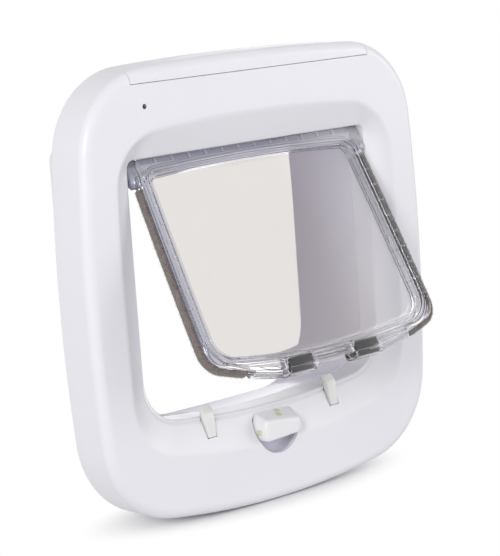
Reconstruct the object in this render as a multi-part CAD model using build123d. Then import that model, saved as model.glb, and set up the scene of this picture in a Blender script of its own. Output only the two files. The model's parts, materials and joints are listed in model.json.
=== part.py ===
from build123d import *
import os
from math import acos, cos, pi, radians, sin, sqrt, tan

os.makedirs("parts", exist_ok=True)

# Axes: X to the right seen from the room, Z up, Y from the room to the outside.
# The plane y = 0 is the face that seats on the door, and the origin is the middle of its fixing holes.

# Frame moulding
frame_half_width = 111.0
frame_half_height = 113.0
frame_depth = 25.0
frame_crown_top = 3.9
frame_crown_bottom = 12.2
frame_crown_side = 6.5
frame_radius_top = 42.5
frame_radius_bottom = 45.5
frame_edge_round = 5.0
wall = 2.2

# Sloped recess in the face of the frame
face_band_side = 19.8
face_band_top = 29.2
face_band_bottom = 30.1
recess_half_width = frame_half_width - face_band_side
recess_top = frame_half_height - face_band_top
recess_bottom = -frame_half_height + face_band_bottom
recess_crown_top = 5.1
recess_crown_bottom = 12.7
recess_crown_side = 1.5
recess_radius_top = 29.5
recess_radius_bottom = 28.3
recess_edge_round = 1.6

# Opening at the foot of the recess
ramp_side = 12.8
ramp_top = 11.8
ramp_bottom = 20.4
throat_half_width = recess_half_width - ramp_side
throat_top = recess_top - ramp_top
throat_bottom = recess_bottom + ramp_bottom
throat_crown_top = 2.0
throat_crown_bottom = 9.8
throat_crown_side = 0.2
throat_radius_top = 4.0
throat_radius_bottom = 13.8
throat_recess = 7.0
throat_y = -frame_depth + throat_recess

# Tunnel lining through the door
sleeve_wall = 1.8
sleeve_end = 41.0
sleeve_flange = 5.0
sleeve_flange_thickness = 3.0
sleeve_fall = 12.1
sleeve_end_crown_bottom = 1.5
sleeve_end_radius_top = 4.5
sleeve_end_radius_bottom = 33.0

# Clearances
seam_gap = 0.3
body_gap = 0.3
running_clearance = 0.08
slide_clearance = 0.1
slot_side_gap = 1.2
overcut = 1.0

# Flap, in its own upright position with the hinge axis as its origin
flap_angle = 28.0
hinge_setback = 5.1
hinge_drop = 6.9
hinge_y = throat_y + hinge_setback
hinge_z = throat_top - hinge_drop
pile_clearance = 0.6
ear_clearance = 1.0
pile_width = 3.7
pile_root = 1.5
pile_thickness = 4.4
pile_top = -11.0
pile_end_x = 53.0
flap_half_width = throat_half_width - pile_clearance - pile_width
flap_top = 1.6
flap_sill_gap = 9.4
flap_length = hinge_z - throat_bottom - flap_sill_gap
flap_crown_top = 0.8
flap_crown_bottom = 15.3
flap_crown_side = 0.6
flap_radius_top = 4.0
flap_radius_bottom = 12.5
flap_bar_thickness = 8.0
flap_bar_round = 1.2
flap_bar_width = 7.1
flap_lower_bar = 10.2
pane_thickness = 2.6
pane_half_width = flap_half_width - flap_bar_width
pane_top = -6.3
pane_bottom = -flap_length + flap_lower_bar
pane_crown_top = 2.5
pane_crown_bottom = 5.5
pane_crown_side = 0.5
pane_radius_top = 4.0
pane_radius_bottom = 12.0
ear_depth = 9.5
ear_thickness = 6.4
ear_overlap = 5.0
knuckle_radius = 3.6
rib_pitch = 8.8
rib_length = 3.0
rib_width = 0.9
rib_height = 0.5
rib_inset = 1.0
rib_stop = 18.0
hinge_pin_radius = 1.8
hinge_pin_inside = 4.0
hinge_pin_end_gap = 0.2
hinge_pin_end_round = 0.3
flap_magnet_x = 22.0
flap_magnet_width = 17.0
flap_magnet_height = 7.2
flap_magnet_thickness = 6.6
flap_magnet_bevel = 2.2
magnet_clearance = 0.1
housing_wall = 1.0
housing_drop = 0.4
flap_notch_rise = 2.9
skirt_reach = 2.4
skirt_thickness = 6.0
skirt_end_gap = 0.3

# Battery cover and bay
cover_end_room = 21.05
cover_height = 9.4
cover_back_gap = 1.8
cover_wall = 2.0
cover_tongue_x = 42.0
cover_tongue_width = 14.0
cover_tongue_reach = 5.0
cover_tongue_thickness = 1.5

# Cells, tray and contacts
cell_radius = 6.95
cell_length = 49.5
cell_nub_radius = 2.7
cell_nub_length = 1.0
cell_edge_round = 0.9
cell_gap = 0.2
cell_inner_gap = 1.2
cell_spring_gap = 4.0
tray_wall = 0.75
tray_divider = 1.0
tray_coil_gap = 1.0
tray_rim_rise = 1.3
deck_thickness = 1.4
deck_drop = 0.4
deck_end_gap = 0.5
contact_thickness = 0.4
contact_width = 8.0
tongue_height = 8.0
tongue_tip = 2.0
ledge_width = 5.0
ledge_height = 6.0

# Circuit board, light and button
board_back_gap = 4.2
board_thickness = 1.6
board_side_gap = 10.0
board_tray_gap = 3.0
board_coil_gap = 2.0
board_deck_gap = 0.8
board_corner_x = 13.0
board_corner_z = 15.0
board_post_inset = 4.0
board_post_radius = 2.2
led_seam_x = 7.7
led_seam_z = 10.8
led_size = 3.2
led_height = 1.8
led_dome_base = 1.4
led_dome_tip = 0.9
lens_radius = 1.1
lens_collar_radius = 2.4
lens_proud = 0.25
lens_tip_round = 0.5
lens_led_gap = 0.3
button_seam_x = 12.0
button_board_gap = 0.5
button_cap_radius = 3.2
button_stem_radius = 2.0
button_travel = 1.0
button_cap_height = 1.6
button_cap_round = 0.4
switch_size = 6.0
switch_height = 4.0
switch_corner_round = 0.6

# Reader coil
coil_collar_gap = 1.0
coil_depth = 4.0
coil_width = 2.4

# Back cover, its screws and the door fixings
back_thickness = 2.2
side_screw_inset = 14.0
side_screw_z = 22.0
low_screw_inset = 37.0
low_screw_rise = 23.0
screw_radius = 1.1
screw_length = 9.0
screw_head_radius = 2.5
screw_head_height = 1.5
screw_slot_depth = 0.8
screw_slot_width = 0.7
boss_radius = 3.2
fixing_inset = 15.0
fixing_z = 60.0
fixing_hole_radius = 1.9
fixing_hole_depth = 17.0
fixing_boss_radius = 4.8

# Lock knob, cam and detent
knob_drop = 12.3
knob_pocket_radius = 14.3
knob_pocket_depth = 1.5
knob_side_gap = 0.4
knob_height = 13.0
knob_front_height = 10.4
knob_taper = 0.7
knob_proud = 5.5
knob_edge_round = 1.0
knob_shaft_radius = 3.0
knob_flat = 2.2
cam_radius = 9.0
cam_thickness = 3.4
cam_notch_radius = 1.4
cam_notch_depth = 0.9
detent_half_span = 12.5
detent_rise = 3.6
detent_thickness = 0.5
detent_seat_gap = 0.1
detent_post_radius = 1.6

# Latch fingers, carrier and drive
finger_x = 41.5
finger_width = 7.0
finger_foot_width = 5.6
finger_foot_drop = 10.5
finger_foot_proud = 4.7
finger_top_proud = 3.8
finger_leg_proud = 1.5
finger_front_rise = 2.3
finger_back_rise = 5.7
finger_tip_round = 0.6
latch_travel = 9.0
carrier_height = 17.5
carrier_floor_gap = 5.5
carrier_end = 2.4
carrier_thickness = 5.0
carrier_notch_gap = 3.0
carrier_notch_height = 6.5
guide_finger_gap = 11.5
guide_drop = 4.5
guide_radius = 1.9
guide_shoulder_radius = 3.4
guide_proud = 1.0
gear_module = 0.8
pinion_teeth = 12
rack_teeth_below = 5
rack_teeth_above = 2
tooth_addendum = 0.75
tooth_dedendum = 0.95
tooth_backlash = 0.16
pressure_angle = 20.0
pinion_drop = 5.0
pinion_bore_radius = 1.0
motor_radius = 6.0
motor_edge_round = 0.6
motor_back_gap = 0.8
motor_boss_radius = 2.5
motor_boss_height = 1.0
cradle_wall = 1.6
cradle_clearance = 0.15

# Keeper magnets under the sill
keeper_setback = 2.0
keeper_height = 4.2
keeper_gap = 0.3

# Places that follow from the sizes above
face_back = -frame_depth + wall
seat_y = -back_thickness
collar_end = seat_y - body_gap - sleeve_flange_thickness
flap_magnet_bottom = -flap_length - housing_drop + housing_wall
rib_count = int((flap_length - rib_stop + pile_top) / rib_pitch)
top_rib_count = int(2 * pane_half_width / rib_pitch) - 1
cover_back = seat_y - cover_back_gap
tray_back = seat_y - body_gap
board_front = seat_y - board_back_gap - board_thickness
button_y = board_front - switch_size / 2 - button_board_gap
coil_front = collar_end - coil_collar_gap - coil_depth
keeper_front = throat_y + keeper_setback
keeper_back = coil_front - keeper_gap
finger_foot = throat_bottom - finger_foot_drop
finger_front_foot = throat_y - finger_foot_proud
finger_front_top = throat_y - finger_top_proud
finger_back = hinge_y - flap_bar_thickness / 2 - body_gap
finger_leg_front = throat_y - finger_leg_proud
finger_top_front = throat_bottom + finger_front_rise
finger_top_back = throat_bottom + finger_back_rise
carrier_half_width = finger_x + finger_width / 2 + carrier_end
carrier_front = finger_leg_front
carrier_back = carrier_front + carrier_thickness
carrier_notch_half_width = knob_pocket_radius + wall + carrier_notch_gap
guide_x = finger_x - guide_finger_gap
guide_end = carrier_back + guide_proud
motor_back = seat_y - motor_back_gap
seam_z = frame_half_height - cover_height
pinion_radius = gear_module * pinion_teeth / 2
cell_room = cell_inner_gap + cell_nub_length + cell_length + cell_spring_gap
tray_half_length = tray_divider / 2 + cell_room + tray_wall
seam_x = tray_half_length + cover_end_room
coil_top = throat_top + wall + body_gap + coil_width
tray_floor = coil_top + tray_coil_gap
tray_front = tray_back - 2 * (cell_radius + cell_gap + tray_wall)
deck_top = seam_z - deck_drop
tray_rim = deck_top + tray_rim_rise
led_x = -seam_x + led_seam_x
led_z = seam_z - led_seam_z
button_x = -seam_x + button_seam_x
carrier_bottom = -frame_half_height + carrier_floor_gap
carrier_top = carrier_bottom + carrier_height
carrier_notch_floor = carrier_bottom + carrier_notch_height
guide_z = carrier_top - guide_drop
pinion_z = carrier_top - pinion_drop
board_left = -frame_half_width + board_side_gap
board_right = -tray_half_length - board_tray_gap
board_low = coil_top + board_coil_gap
board_high = deck_top - deck_thickness - board_deck_gap
board_outline = [
    (board_left, board_low), (board_right, board_low), (board_right, board_high),
    (board_left + board_corner_x, board_high), (board_left, board_high - board_corner_z)]
board_posts = [
    (board_left + 2 * board_post_inset, board_low + board_post_inset),
    (board_right - board_post_inset, board_low + board_post_inset)]
back_screws = [
    (side * x, z) for side in (-1, 1) for x, z in (
        (frame_half_width - side_screw_inset, side_screw_z),
        (frame_half_width - side_screw_inset, -side_screw_z),
        (frame_half_width - low_screw_inset, -frame_half_height + low_screw_rise))]
knob_z = throat_bottom - knob_drop
knob_pocket_floor = throat_y - knob_pocket_depth
knob_back = knob_pocket_floor - body_gap
knob_front = -frame_depth - knob_proud
knob_radius = knob_pocket_radius - knob_side_gap
pocket_back = knob_pocket_floor + wall
cam_front = pocket_back + body_gap


def at_depth(y):
    """A sketch plane that faces the room, at a place along Y."""
    return Plane(origin=(0, y, 0), x_dir=(1, 0, 0), z_dir=(0, -1, 0))


def block(x, y, z):
    """A box between two values on each axis."""
    centre = [(low + high) / 2 for low, high in (x, y, z)]
    return Pos(*centre) * Box(x[1] - x[0], y[1] - y[0], z[1] - z[0])


def rod(x, z, radius, y):
    """A cylinder along Y between two values of y."""
    return Pos(x, (y[0] + y[1]) / 2, z) * Rot(X=90) * Cylinder(radius, y[1] - y[0])


def rod_across(y, z, radius, x):
    """A cylinder along X between two values of x."""
    return Pos((x[0] + x[1]) / 2, y, z) * Rot(Y=90) * Cylinder(radius, x[1] - x[0])


def prism(points, y):
    """A polygon of (x, z) points carried along Y between two values of y."""
    return extrude(at_depth(y[1]) * make_face(Polyline(*points, close=True)), y[1] - y[0])


def prism_across(points, x):
    """A polygon of (y, z) points carried along X between two values of x."""
    return extrude(Plane.YZ.offset(x[0]) * make_face(Polyline(*points, close=True)), x[1] - x[0])


class Barrel:
    """A rounded rectangle whose sides bow outwards, symmetric about its upright axis.

    crowns are the bows of the top, the bottom and the sides; radii are those of the top and bottom corners.
    """

    def __init__(self, half_width, top, bottom, crowns, radii):
        self.half_width = half_width
        self.top = top
        self.bottom = bottom
        self.crowns = crowns
        self.radii = radii

    def grown(self, by):
        """The outline set outwards by an even amount."""
        radii = [radius + by for radius in self.radii]
        return Barrel(self.half_width + by, self.top + by, self.bottom - by, self.crowns, radii)

    def face(self, y):
        """The outline as a face at a place along Y."""
        crown_top, crown_bottom, crown_side = self.crowns
        x = self.half_width - crown_side
        high = self.top - crown_top
        low = self.bottom + crown_bottom
        middle = (self.top + self.bottom) / 2
        sides = [
            ThreePointArc((-x, low), (0, self.bottom), (x, low)),
            ThreePointArc((x, low), (self.half_width, middle), (x, high)),
            ThreePointArc((x, high), (0, self.top), (-x, high)),
            ThreePointArc((-x, high), (-self.half_width, middle), (-x, low)),
        ]
        face = make_face(sides)
        face = fillet(face.vertices().group_by(Axis.Y)[-1], self.radii[0])
        face = fillet(face.vertices().group_by(Axis.Y)[0], self.radii[1])
        return at_depth(y) * face

    def slab(self, y):
        """The outline carried along Y between two values of y."""
        return extrude(self.face(y[1]), y[1] - y[0])

    def lower_edge(self, x):
        """Height of the lower side at a place across, on its bow."""
        reach = self.half_width - self.crowns[2]
        return self.bottom + self.crowns[1] * (x / reach) ** 2


frame_outline = Barrel(
    frame_half_width, frame_half_height, -frame_half_height,
    (frame_crown_top, frame_crown_bottom, frame_crown_side), (frame_radius_top, frame_radius_bottom))
recess_outline = Barrel(
    recess_half_width, recess_top, recess_bottom,
    (recess_crown_top, recess_crown_bottom, recess_crown_side), (recess_radius_top, recess_radius_bottom))
throat_outline = Barrel(
    throat_half_width, throat_top, throat_bottom,
    (throat_crown_top, throat_crown_bottom, throat_crown_side), (throat_radius_top, throat_radius_bottom))
sleeve_end_outline = Barrel(
    throat_half_width, throat_top, throat_bottom - sleeve_fall,
    (throat_crown_top, sleeve_end_crown_bottom, throat_crown_side),
    (sleeve_end_radius_top, sleeve_end_radius_bottom))
flap_outline = Barrel(
    flap_half_width, flap_top, -flap_length,
    (flap_crown_top, flap_crown_bottom, flap_crown_side), (flap_radius_top, flap_radius_bottom))
pane_outline = Barrel(
    pane_half_width, pane_top, pane_bottom,
    (pane_crown_top, pane_crown_bottom, pane_crown_side), (pane_radius_top, pane_radius_bottom))

fixing_x = frame_half_width - fixing_inset
fixing_holes = [(sx * fixing_x, sz * fixing_z) for sx in (-1, 1) for sz in (-1, 1)]


def outer_body():
    """The frame's outside as one solid, with its front edge rounded."""
    body = frame_outline.slab((-frame_depth, 0))
    return fillet(body.faces().sort_by(Axis.Y)[0].edges(), frame_edge_round)


def bay_space(gap):
    """The room taken by the battery cover, set in by a gap on the sides and below."""
    half = seam_x - gap
    z = (seam_z + gap, frame_half_height + overcut)
    return block((-half, half), (-frame_depth - overcut, cover_back - gap), z)


def finger_outline(side, gap, bottom):
    """A latch finger seen from the room, wide at the top and narrow from its foot down."""
    x = side * finger_x
    top = finger_width / 2 + gap
    foot = finger_foot_width / 2 + gap
    return [
        (x - foot, bottom), (x + foot, bottom), (x + foot, finger_foot),
        (x + top, finger_top_back), (x - top, finger_top_back), (x - foot, finger_foot)]


def finger_slot(side):
    """The slot through the ramp and the sill for one latch finger, as tapered as the finger."""
    outline = finger_outline(side, slot_side_gap, finger_foot - body_gap)
    slot = prism(outline, (-frame_depth - overcut, finger_back + body_gap))
    half = finger_width / 2 + slot_side_gap
    x = side * finger_x
    y = (-frame_depth - overcut, finger_back + body_gap)
    return slot + block((x - half, x + half), y, (finger_top_back, throat_bottom / 2))


def make_front_frame(body):
    """Shell with the sloped recess, the collar round the opening, bosses, and openings for other pieces."""
    cavity = frame_outline.grown(-wall).slab((face_back, 0))
    collar = throat_outline.grown(wall)
    behind_ramp = loft([recess_outline.grown(wall).face(-frame_depth), collar.face(throat_y)], ruled=True)
    behind_ramp += collar.slab((throat_y, collar_end))
    ramp = loft([recess_outline.face(-frame_depth), throat_outline.face(throat_y)], ruled=True)
    opening = throat_outline.slab((throat_y, overcut))
    shell = body - (cavity - behind_ramp) - ramp - opening
    rim = [
        edge for edge in shell.faces().sort_by(Axis.Y)[0].edges()
        if recess_bottom - 1 < edge.center().Z < recess_top + 1
        and abs(edge.center().X) < recess_half_width + 1]
    shell = fillet(rim, recess_edge_round)

    # Cup behind the lock knob
    cup = rod(0, knob_z, knob_pocket_radius + wall, (-frame_depth + wall / 2, pocket_back))
    below_sill = block(
        (-frame_half_width, frame_half_width), (-frame_depth, 0),
        (-frame_half_height, throat_bottom - wall / 2))
    shell += (cup & below_sill) - ramp
    shell -= rod(0, knob_z, knob_pocket_radius, (-frame_depth - overcut, knob_pocket_floor))
    bearing_y = (knob_pocket_floor - overcut, pocket_back + overcut)
    shell -= rod(0, knob_z, knob_shaft_radius + running_clearance, bearing_y)

    # Bosses and posts inside the shell
    for x, z in fixing_holes:
        shell += rod(x, z, fixing_boss_radius, (face_back, 0))
        shell -= rod(x, z, fixing_hole_radius, (-fixing_hole_depth, overcut))
    for x, z in back_screws:
        shell += rod(x, z, boss_radius, (face_back, seat_y))
        shell -= rod(x, z, screw_radius, (seat_y - screw_length - overcut, seat_y + overcut))
    for x, z in board_posts:
        shell += rod(x, z, board_post_radius, (face_back, board_front))
    for side in (-1, 1):
        shell += rod(side * guide_x, guide_z, guide_radius, (face_back, guide_end))
        shell += rod(side * guide_x, guide_z, guide_shoulder_radius, (face_back, carrier_front - body_gap))
        detent_x = side * detent_half_span
        shell += rod(detent_x, detent_foot_z(), detent_post_radius, (face_back, detent_back()))
        ledge_x = sorted((side * (seam_x - deck_end_gap), side * (seam_x - deck_end_gap - ledge_width)))
        ledge_z = (deck_top - deck_thickness - ledge_height, deck_top - deck_thickness)
        shell += block(ledge_x, (face_back, face_back + ledge_width), ledge_z)
    shell += motor_cradle()

    # Openings for moving pieces
    shell -= bay_space(0)
    shell -= rod(led_x, led_z, lens_radius + seam_gap / 2, (-frame_depth - overcut, face_back + overcut))
    for side in (-1, 1):
        shell -= finger_slot(side)
        bore_x = sorted((side * (throat_half_width - overcut), side * (throat_half_width + wall + overcut)))
        shell -= rod_across(hinge_y, hinge_z, hinge_pin_radius + running_clearance, bore_x)
    return shell


def make_battery_cover(body):
    """Lid that wraps over the top edge, with two tongues that hook behind the face."""
    skin = body - frame_outline.grown(-cover_wall).slab((-frame_depth + cover_wall, 0))
    cover = skin & bay_space(seam_gap)
    tongue_front = face_back + body_gap
    tongue_y = (tongue_front, tongue_front + cover_tongue_thickness)
    for side in (-1, 1):
        x = side * cover_tongue_x
        span = (x - cover_tongue_width / 2, x + cover_tongue_width / 2)
        root_z = (seam_z + seam_gap, seam_z + seam_gap + cover_tongue_thickness)
        cover += block(span, tongue_y, (seam_z - cover_tongue_reach, root_z[1]))
        cover += block(span, (-frame_depth + cover_wall / 2, tongue_y[1]), root_z)
    return cover


def make_back_cover():
    """Plate that closes the back of the shell round the tunnel, with countersunk screw holes."""
    plate = frame_outline.grown(-wall - seam_gap).slab((seat_y, 0))
    gap = sleeve_wall + seam_gap
    plate -= tunnel(throat_outline.grown(gap), sleeve_end_outline.grown(gap))
    for x, z in fixing_holes:
        plate -= rod(x, z, fixing_boss_radius + seam_gap, (seat_y - overcut, overcut))
    for x, z in back_screws:
        plate -= screw_shape(x, z, seam_gap / 2)
    return plate


def screw_shape(x, z, gap):
    """A countersunk screw with its head level with the door face, grown by a gap."""
    cone = Cone(screw_radius + gap, screw_head_radius + gap, screw_head_height)
    head = Pos(x, -screw_head_height / 2, z) * Rot(X=-90) * cone
    return head + rod(x, z, screw_radius + gap, (seat_y - screw_length, -screw_head_height / 2))


def make_screws():
    """The back cover's screws, each with a straight drive slot."""
    half = screw_slot_width / 2
    screws = []
    for x, z in back_screws:
        span = (x - screw_head_radius, x + screw_head_radius)
        slot = block(span, (-screw_slot_depth, overcut), (z - half, z + half))
        screws.append(screw_shape(x, z, 0) - slot)
    return Compound(children=[solid for screw in screws for solid in screw.solids()])


def tunnel(near, far):
    """The space between an outline at the collar's end and one at the outer end of the lining."""
    return loft([near.face(collar_end), far.face(sleeve_end)], ruled=True)


def make_tunnel_sleeve():
    """Lining that runs from the collar to the outer face of the door, its floor falling to the outside."""
    near, far = throat_outline, sleeve_end_outline
    outside = tunnel(near.grown(sleeve_wall), far.grown(sleeve_wall))
    outside += near.grown(sleeve_flange).slab((collar_end, collar_end + sleeve_flange_thickness))
    return outside - tunnel(near, far)


def make_reader_coil():
    """Flat winding round the collar."""
    inside = throat_outline.grown(wall + body_gap)
    y = (coil_front, coil_front + coil_depth)
    return inside.grown(coil_width).slab(y) - inside.slab((y[0] - 1, y[1] + 1))


def cell_places():
    """Middle of each cell: left and right, lower and upper row."""
    x = tray_divider / 2 + cell_inner_gap + cell_nub_length + cell_length / 2
    y = (tray_front + tray_back) / 2
    pitch = 2 * cell_radius + cell_gap
    low = tray_floor + tray_wall + cell_radius + cell_gap
    return [(side * x, y, low + row * pitch, side) for row in (0, 1) for side in (-1, 1)]


def make_cell(x, y, z, side, turned):
    """A round dry cell lying along X, its nub towards the middle or, when turned, towards the end."""
    nub_side = side if turned else -side
    can = rod_across(y, z, cell_radius, (x - cell_length / 2, x + cell_length / 2))
    can = fillet(can.edges(), cell_edge_round)
    tip = sorted((x + nub_side * cell_length / 2, x + nub_side * (cell_length / 2 + cell_nub_length)))
    return can + rod_across(y, z, cell_nub_radius, tip)


def make_battery_tray():
    """Open box for two rows of cells, with a deck that carries the learn button."""
    length = (-tray_half_length, tray_half_length)
    inside = (-tray_half_length + tray_wall, tray_half_length - tray_wall)
    depth = (tray_front + tray_wall, tray_back - tray_wall)
    tray = block(length, (tray_front, tray_back), (tray_floor, tray_rim))
    deck_half = seam_x - deck_end_gap
    deck_front = face_back + 2 * body_gap + cover_tongue_thickness
    tray += block((-deck_half, deck_half), (deck_front, tray_back), (deck_top - deck_thickness, deck_top))
    hooks_z = (deck_top - deck_thickness, deck_top)
    for side in (-1, 1):
        end_x = sorted((side * deck_half, side * (cover_tongue_x + cover_tongue_width / 2 + 2 * body_gap)))
        tray += block(end_x, (face_back + body_gap, deck_front + overcut), hooks_z)
    tray -= block(inside, depth, (tray_floor + tray_wall, tray_rim + overcut))
    divider_z = (tray_floor + tray_wall / 2, tray_rim - cell_radius)
    tray += block((-tray_divider / 2, tray_divider / 2), depth, divider_z)
    hole = Cylinder(button_stem_radius + running_clearance, 4 * deck_thickness)
    return tray - Pos(button_x, button_y, deck_top) * hole


def make_contact(side):
    """Sprung end plate that joins the two rows: a flat strip with a bent tongue for each cell."""
    outer = tray_half_length - tray_wall
    y = (tray_front + tray_back) / 2
    span = (y - contact_width / 2, y + contact_width / 2)
    rows = sorted({place[2] for place in cell_places()})
    low = rows[0] - tongue_height / 2
    high = rows[1] + tongue_height / 2
    plate_x = sorted((side * outer, side * (outer - contact_thickness)))
    plate = block(plate_x, span, (low, high))
    for z in rows:
        nub_here = (side > 0) == (z == rows[0])
        reach = cell_spring_gap - body_gap - cell_nub_length * nub_here
        tip = outer - reach
        foot = z - tongue_height / 2
        tongue = [
            (outer, foot), (tip, z), (tip, z + tongue_tip), (tip + contact_thickness, z + tongue_tip),
            (tip + contact_thickness, z), (outer, foot + 2 * contact_thickness)]
        plate += prism([(side * px, pz) for px, pz in tongue], span)
    return plate


def make_circuit_board():
    """Board cut to the corner of the shell."""
    return prism(board_outline, (board_front, board_front + board_thickness))


def make_indicator_led():
    """Surface-mounted light on the front of the board."""
    half = led_size / 2
    z = (led_z - half, led_z + half)
    base = block((led_x - half, led_x + half), (board_front - led_height / 2, board_front), z)
    dome = Rot(X=90) * Cone(led_dome_base, led_dome_tip, led_height / 2)
    return base + Pos(led_x, board_front - led_height * 3 / 4, led_z) * dome


def make_indicator_lens():
    """Light pipe from the board to the face, with a collar behind the face."""
    tip = -frame_depth - lens_proud
    foot = board_front - led_height - lens_led_gap
    lens = rod(led_x, led_z, lens_radius, (tip, foot))
    lens = fillet(lens.faces().sort_by(Axis.Y)[0].edges(), lens_tip_round)
    return lens + rod(led_x, led_z, lens_collar_radius, (face_back, face_back + wall))


def make_learn_switch():
    """Push switch on the board, under the learn button."""
    half = switch_size / 2
    top = deck_top - deck_thickness - 2 * body_gap
    span = (button_x - half, button_x + half)
    body = block(span, (button_y - half, board_front), (top - switch_height, top))
    return fillet(body.edges().filter_by(Axis.Z), switch_corner_round)


def make_learn_button():
    """Cap above the deck on a stem through it."""
    under = deck_top + button_travel + body_gap
    foot = deck_top - deck_thickness - 2 * body_gap + button_travel + body_gap
    stem = Pos(button_x, button_y, (foot + under) / 2) * Cylinder(button_stem_radius, under - foot)
    cap = fillet(Cylinder(button_cap_radius, button_cap_height).edges(), button_cap_round)
    return Pos(button_x, button_y, under + button_cap_height / 2) * cap + stem


def flap_slab(outline, thickness):
    """An outline carried evenly to both sides of the flap's middle plane."""
    return outline.slab((-thickness / 2, thickness / 2))


def rounded_slab(outline):
    """An outline at the flap's full thickness, with the edges of both faces rounded."""
    slab = flap_slab(outline, flap_bar_thickness)
    return fillet(slab.faces().filter_by(Axis.Y).edges(), flap_bar_round)


def pile_strip(side):
    """Draught-seal strip down one edge and round the lower corner, rooted in the flap's edge."""
    ring = flap_slab(flap_outline.grown(pile_width), pile_thickness)
    ring -= flap_slab(flap_outline.grown(-pile_root), 2 * pile_thickness)
    reach = 2 * frame_half_width
    x = sorted((side * pile_end_x, side * reach))
    return ring & block(x, (-pile_thickness, pile_thickness), (-reach, pile_top))


def flap_magnet(side, gap):
    """One magnet in the flap's lower bar, both its lower edges bevelled, grown by a gap."""
    half = flap_magnet_width / 2 + gap
    x = side * flap_magnet_x
    depth = flap_magnet_thickness / 2 + gap
    low = flap_magnet_bottom - gap
    high = flap_magnet_bottom + flap_magnet_height + gap
    profile = [
        (-depth, high), (-depth, low + flap_magnet_bevel), (-depth + flap_magnet_bevel, low),
        (depth - flap_magnet_bevel, low), (depth, low + flap_magnet_bevel), (depth, high)]
    return prism_across(profile, (x - half, x + half))


def lower_edge_forms():
    """Housings round the two magnets, and the skirts that run level with the pile from them to its ends."""
    forms = [flap_magnet(side, housing_wall) for side in (-1, 1)]
    inner = flap_magnet_x + flap_magnet_width / 2
    outer = pile_end_x - skirt_end_gap
    skirt = flap_slab(flap_outline.grown(skirt_reach), skirt_thickness)
    for side in (-1, 1):
        x = sorted((side * inner, side * outer))
        forms.append(skirt & block(x, (-skirt_thickness, skirt_thickness), (-2 * flap_length, pane_bottom)))
    return forms


def make_flap_panel():
    """Clear moulding: a thin pane in a raised bar, ears for the hinge pins, ribs that hold the pile."""
    flap = rounded_slab(flap_outline)
    for side in (-1, 1):
        ear_x = sorted((side * (flap_half_width - ear_overlap), side * (throat_half_width - ear_clearance)))
        flap += rod_across(0, 0, knuckle_radius, ear_x)
        flap += block(ear_x, (-ear_thickness / 2, ear_thickness / 2), (-ear_depth, 0))
    for face_y in ((-flap_bar_thickness, -pane_thickness / 2), (pane_thickness / 2, flap_bar_thickness)):
        flap -= pane_outline.slab(face_y)
    half = flap_bar_thickness / 2
    for side in (-1, 1):
        inner = side * (flap_half_width - rib_inset - rib_length)
        outer = side * (flap_half_width - rib_inset)
        for i in range(rib_count):
            z = pile_top - rib_pitch * (i + 0.5)
            rib = (-half - rib_height, half + rib_height), (z - rib_width / 2, z + rib_width / 2)
            flap += block(sorted((inner, outer)), *rib)
    for i in range(top_rib_count):
        x = (i - (top_rib_count - 1) / 2) * rib_pitch
        z = flap_top - flap_crown_top - rib_inset - rib_length
        rib = (-half - rib_height, half + rib_height), (z, z + rib_length)
        flap += block((x - rib_width / 2, x + rib_width / 2), *rib)
    notch_half = flap_magnet_x - flap_magnet_width / 2 - housing_wall
    notch_y = (-flap_bar_thickness, flap_bar_thickness)
    flap -= block((-notch_half, notch_half), notch_y, (-2 * flap_length, -flap_length + flap_notch_rise))
    for form in lower_edge_forms():
        flap += form
    # The strips, magnets and pins take their seats
    for side in (-1, 1):
        flap -= pile_strip(side)
        flap -= flap_magnet(side, magnet_clearance)
        pin_x = sorted((side * (flap_half_width - hinge_pin_inside), side * frame_half_width))
        flap -= rod_across(0, 0, hinge_pin_radius, pin_x)
    return flap


def make_hinge_pin(side):
    """Steel pin pressed into the flap's ear, running in the collar."""
    tip = throat_half_width + wall - hinge_pin_end_gap
    root = flap_half_width - hinge_pin_inside
    pin = rod_across(0, 0, hinge_pin_radius, sorted((side * root, side * tip)))
    return fillet(pin.edges(), hinge_pin_end_round)


def hang(piece):
    """A flap piece turned to its rest angle on the hinge axis."""
    return Pos(0, hinge_y, hinge_z) * Rot(X=-flap_angle) * piece


def make_finger(side):
    """Latch finger: a tapered, wedge-topped tooth in the ramp's slot on a leg down to the carrier."""
    x = side * finger_x
    profile = [
        (finger_front_foot, finger_foot), (finger_front_top, finger_top_front),
        (finger_back, finger_top_back), (finger_back, carrier_top),
        (finger_leg_front, carrier_top), (finger_leg_front, finger_foot)]
    finger = prism_across(profile, (x - finger_width / 2, x + finger_width / 2))
    finger = fillet(finger.edges().filter_by(Axis.X).group_by(Axis.Z)[-1], finger_tip_round)
    y = (finger_front_foot - overcut, finger_back + overcut)
    return finger & prism(finger_outline(side, 0, carrier_top), y)


def involute_point(base, roll):
    """Point of an involute of a base circle, as radius and polar angle, at a roll angle."""
    return base * sqrt(1 + roll * roll), roll - acos(1 / sqrt(1 + roll * roll))


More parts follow.
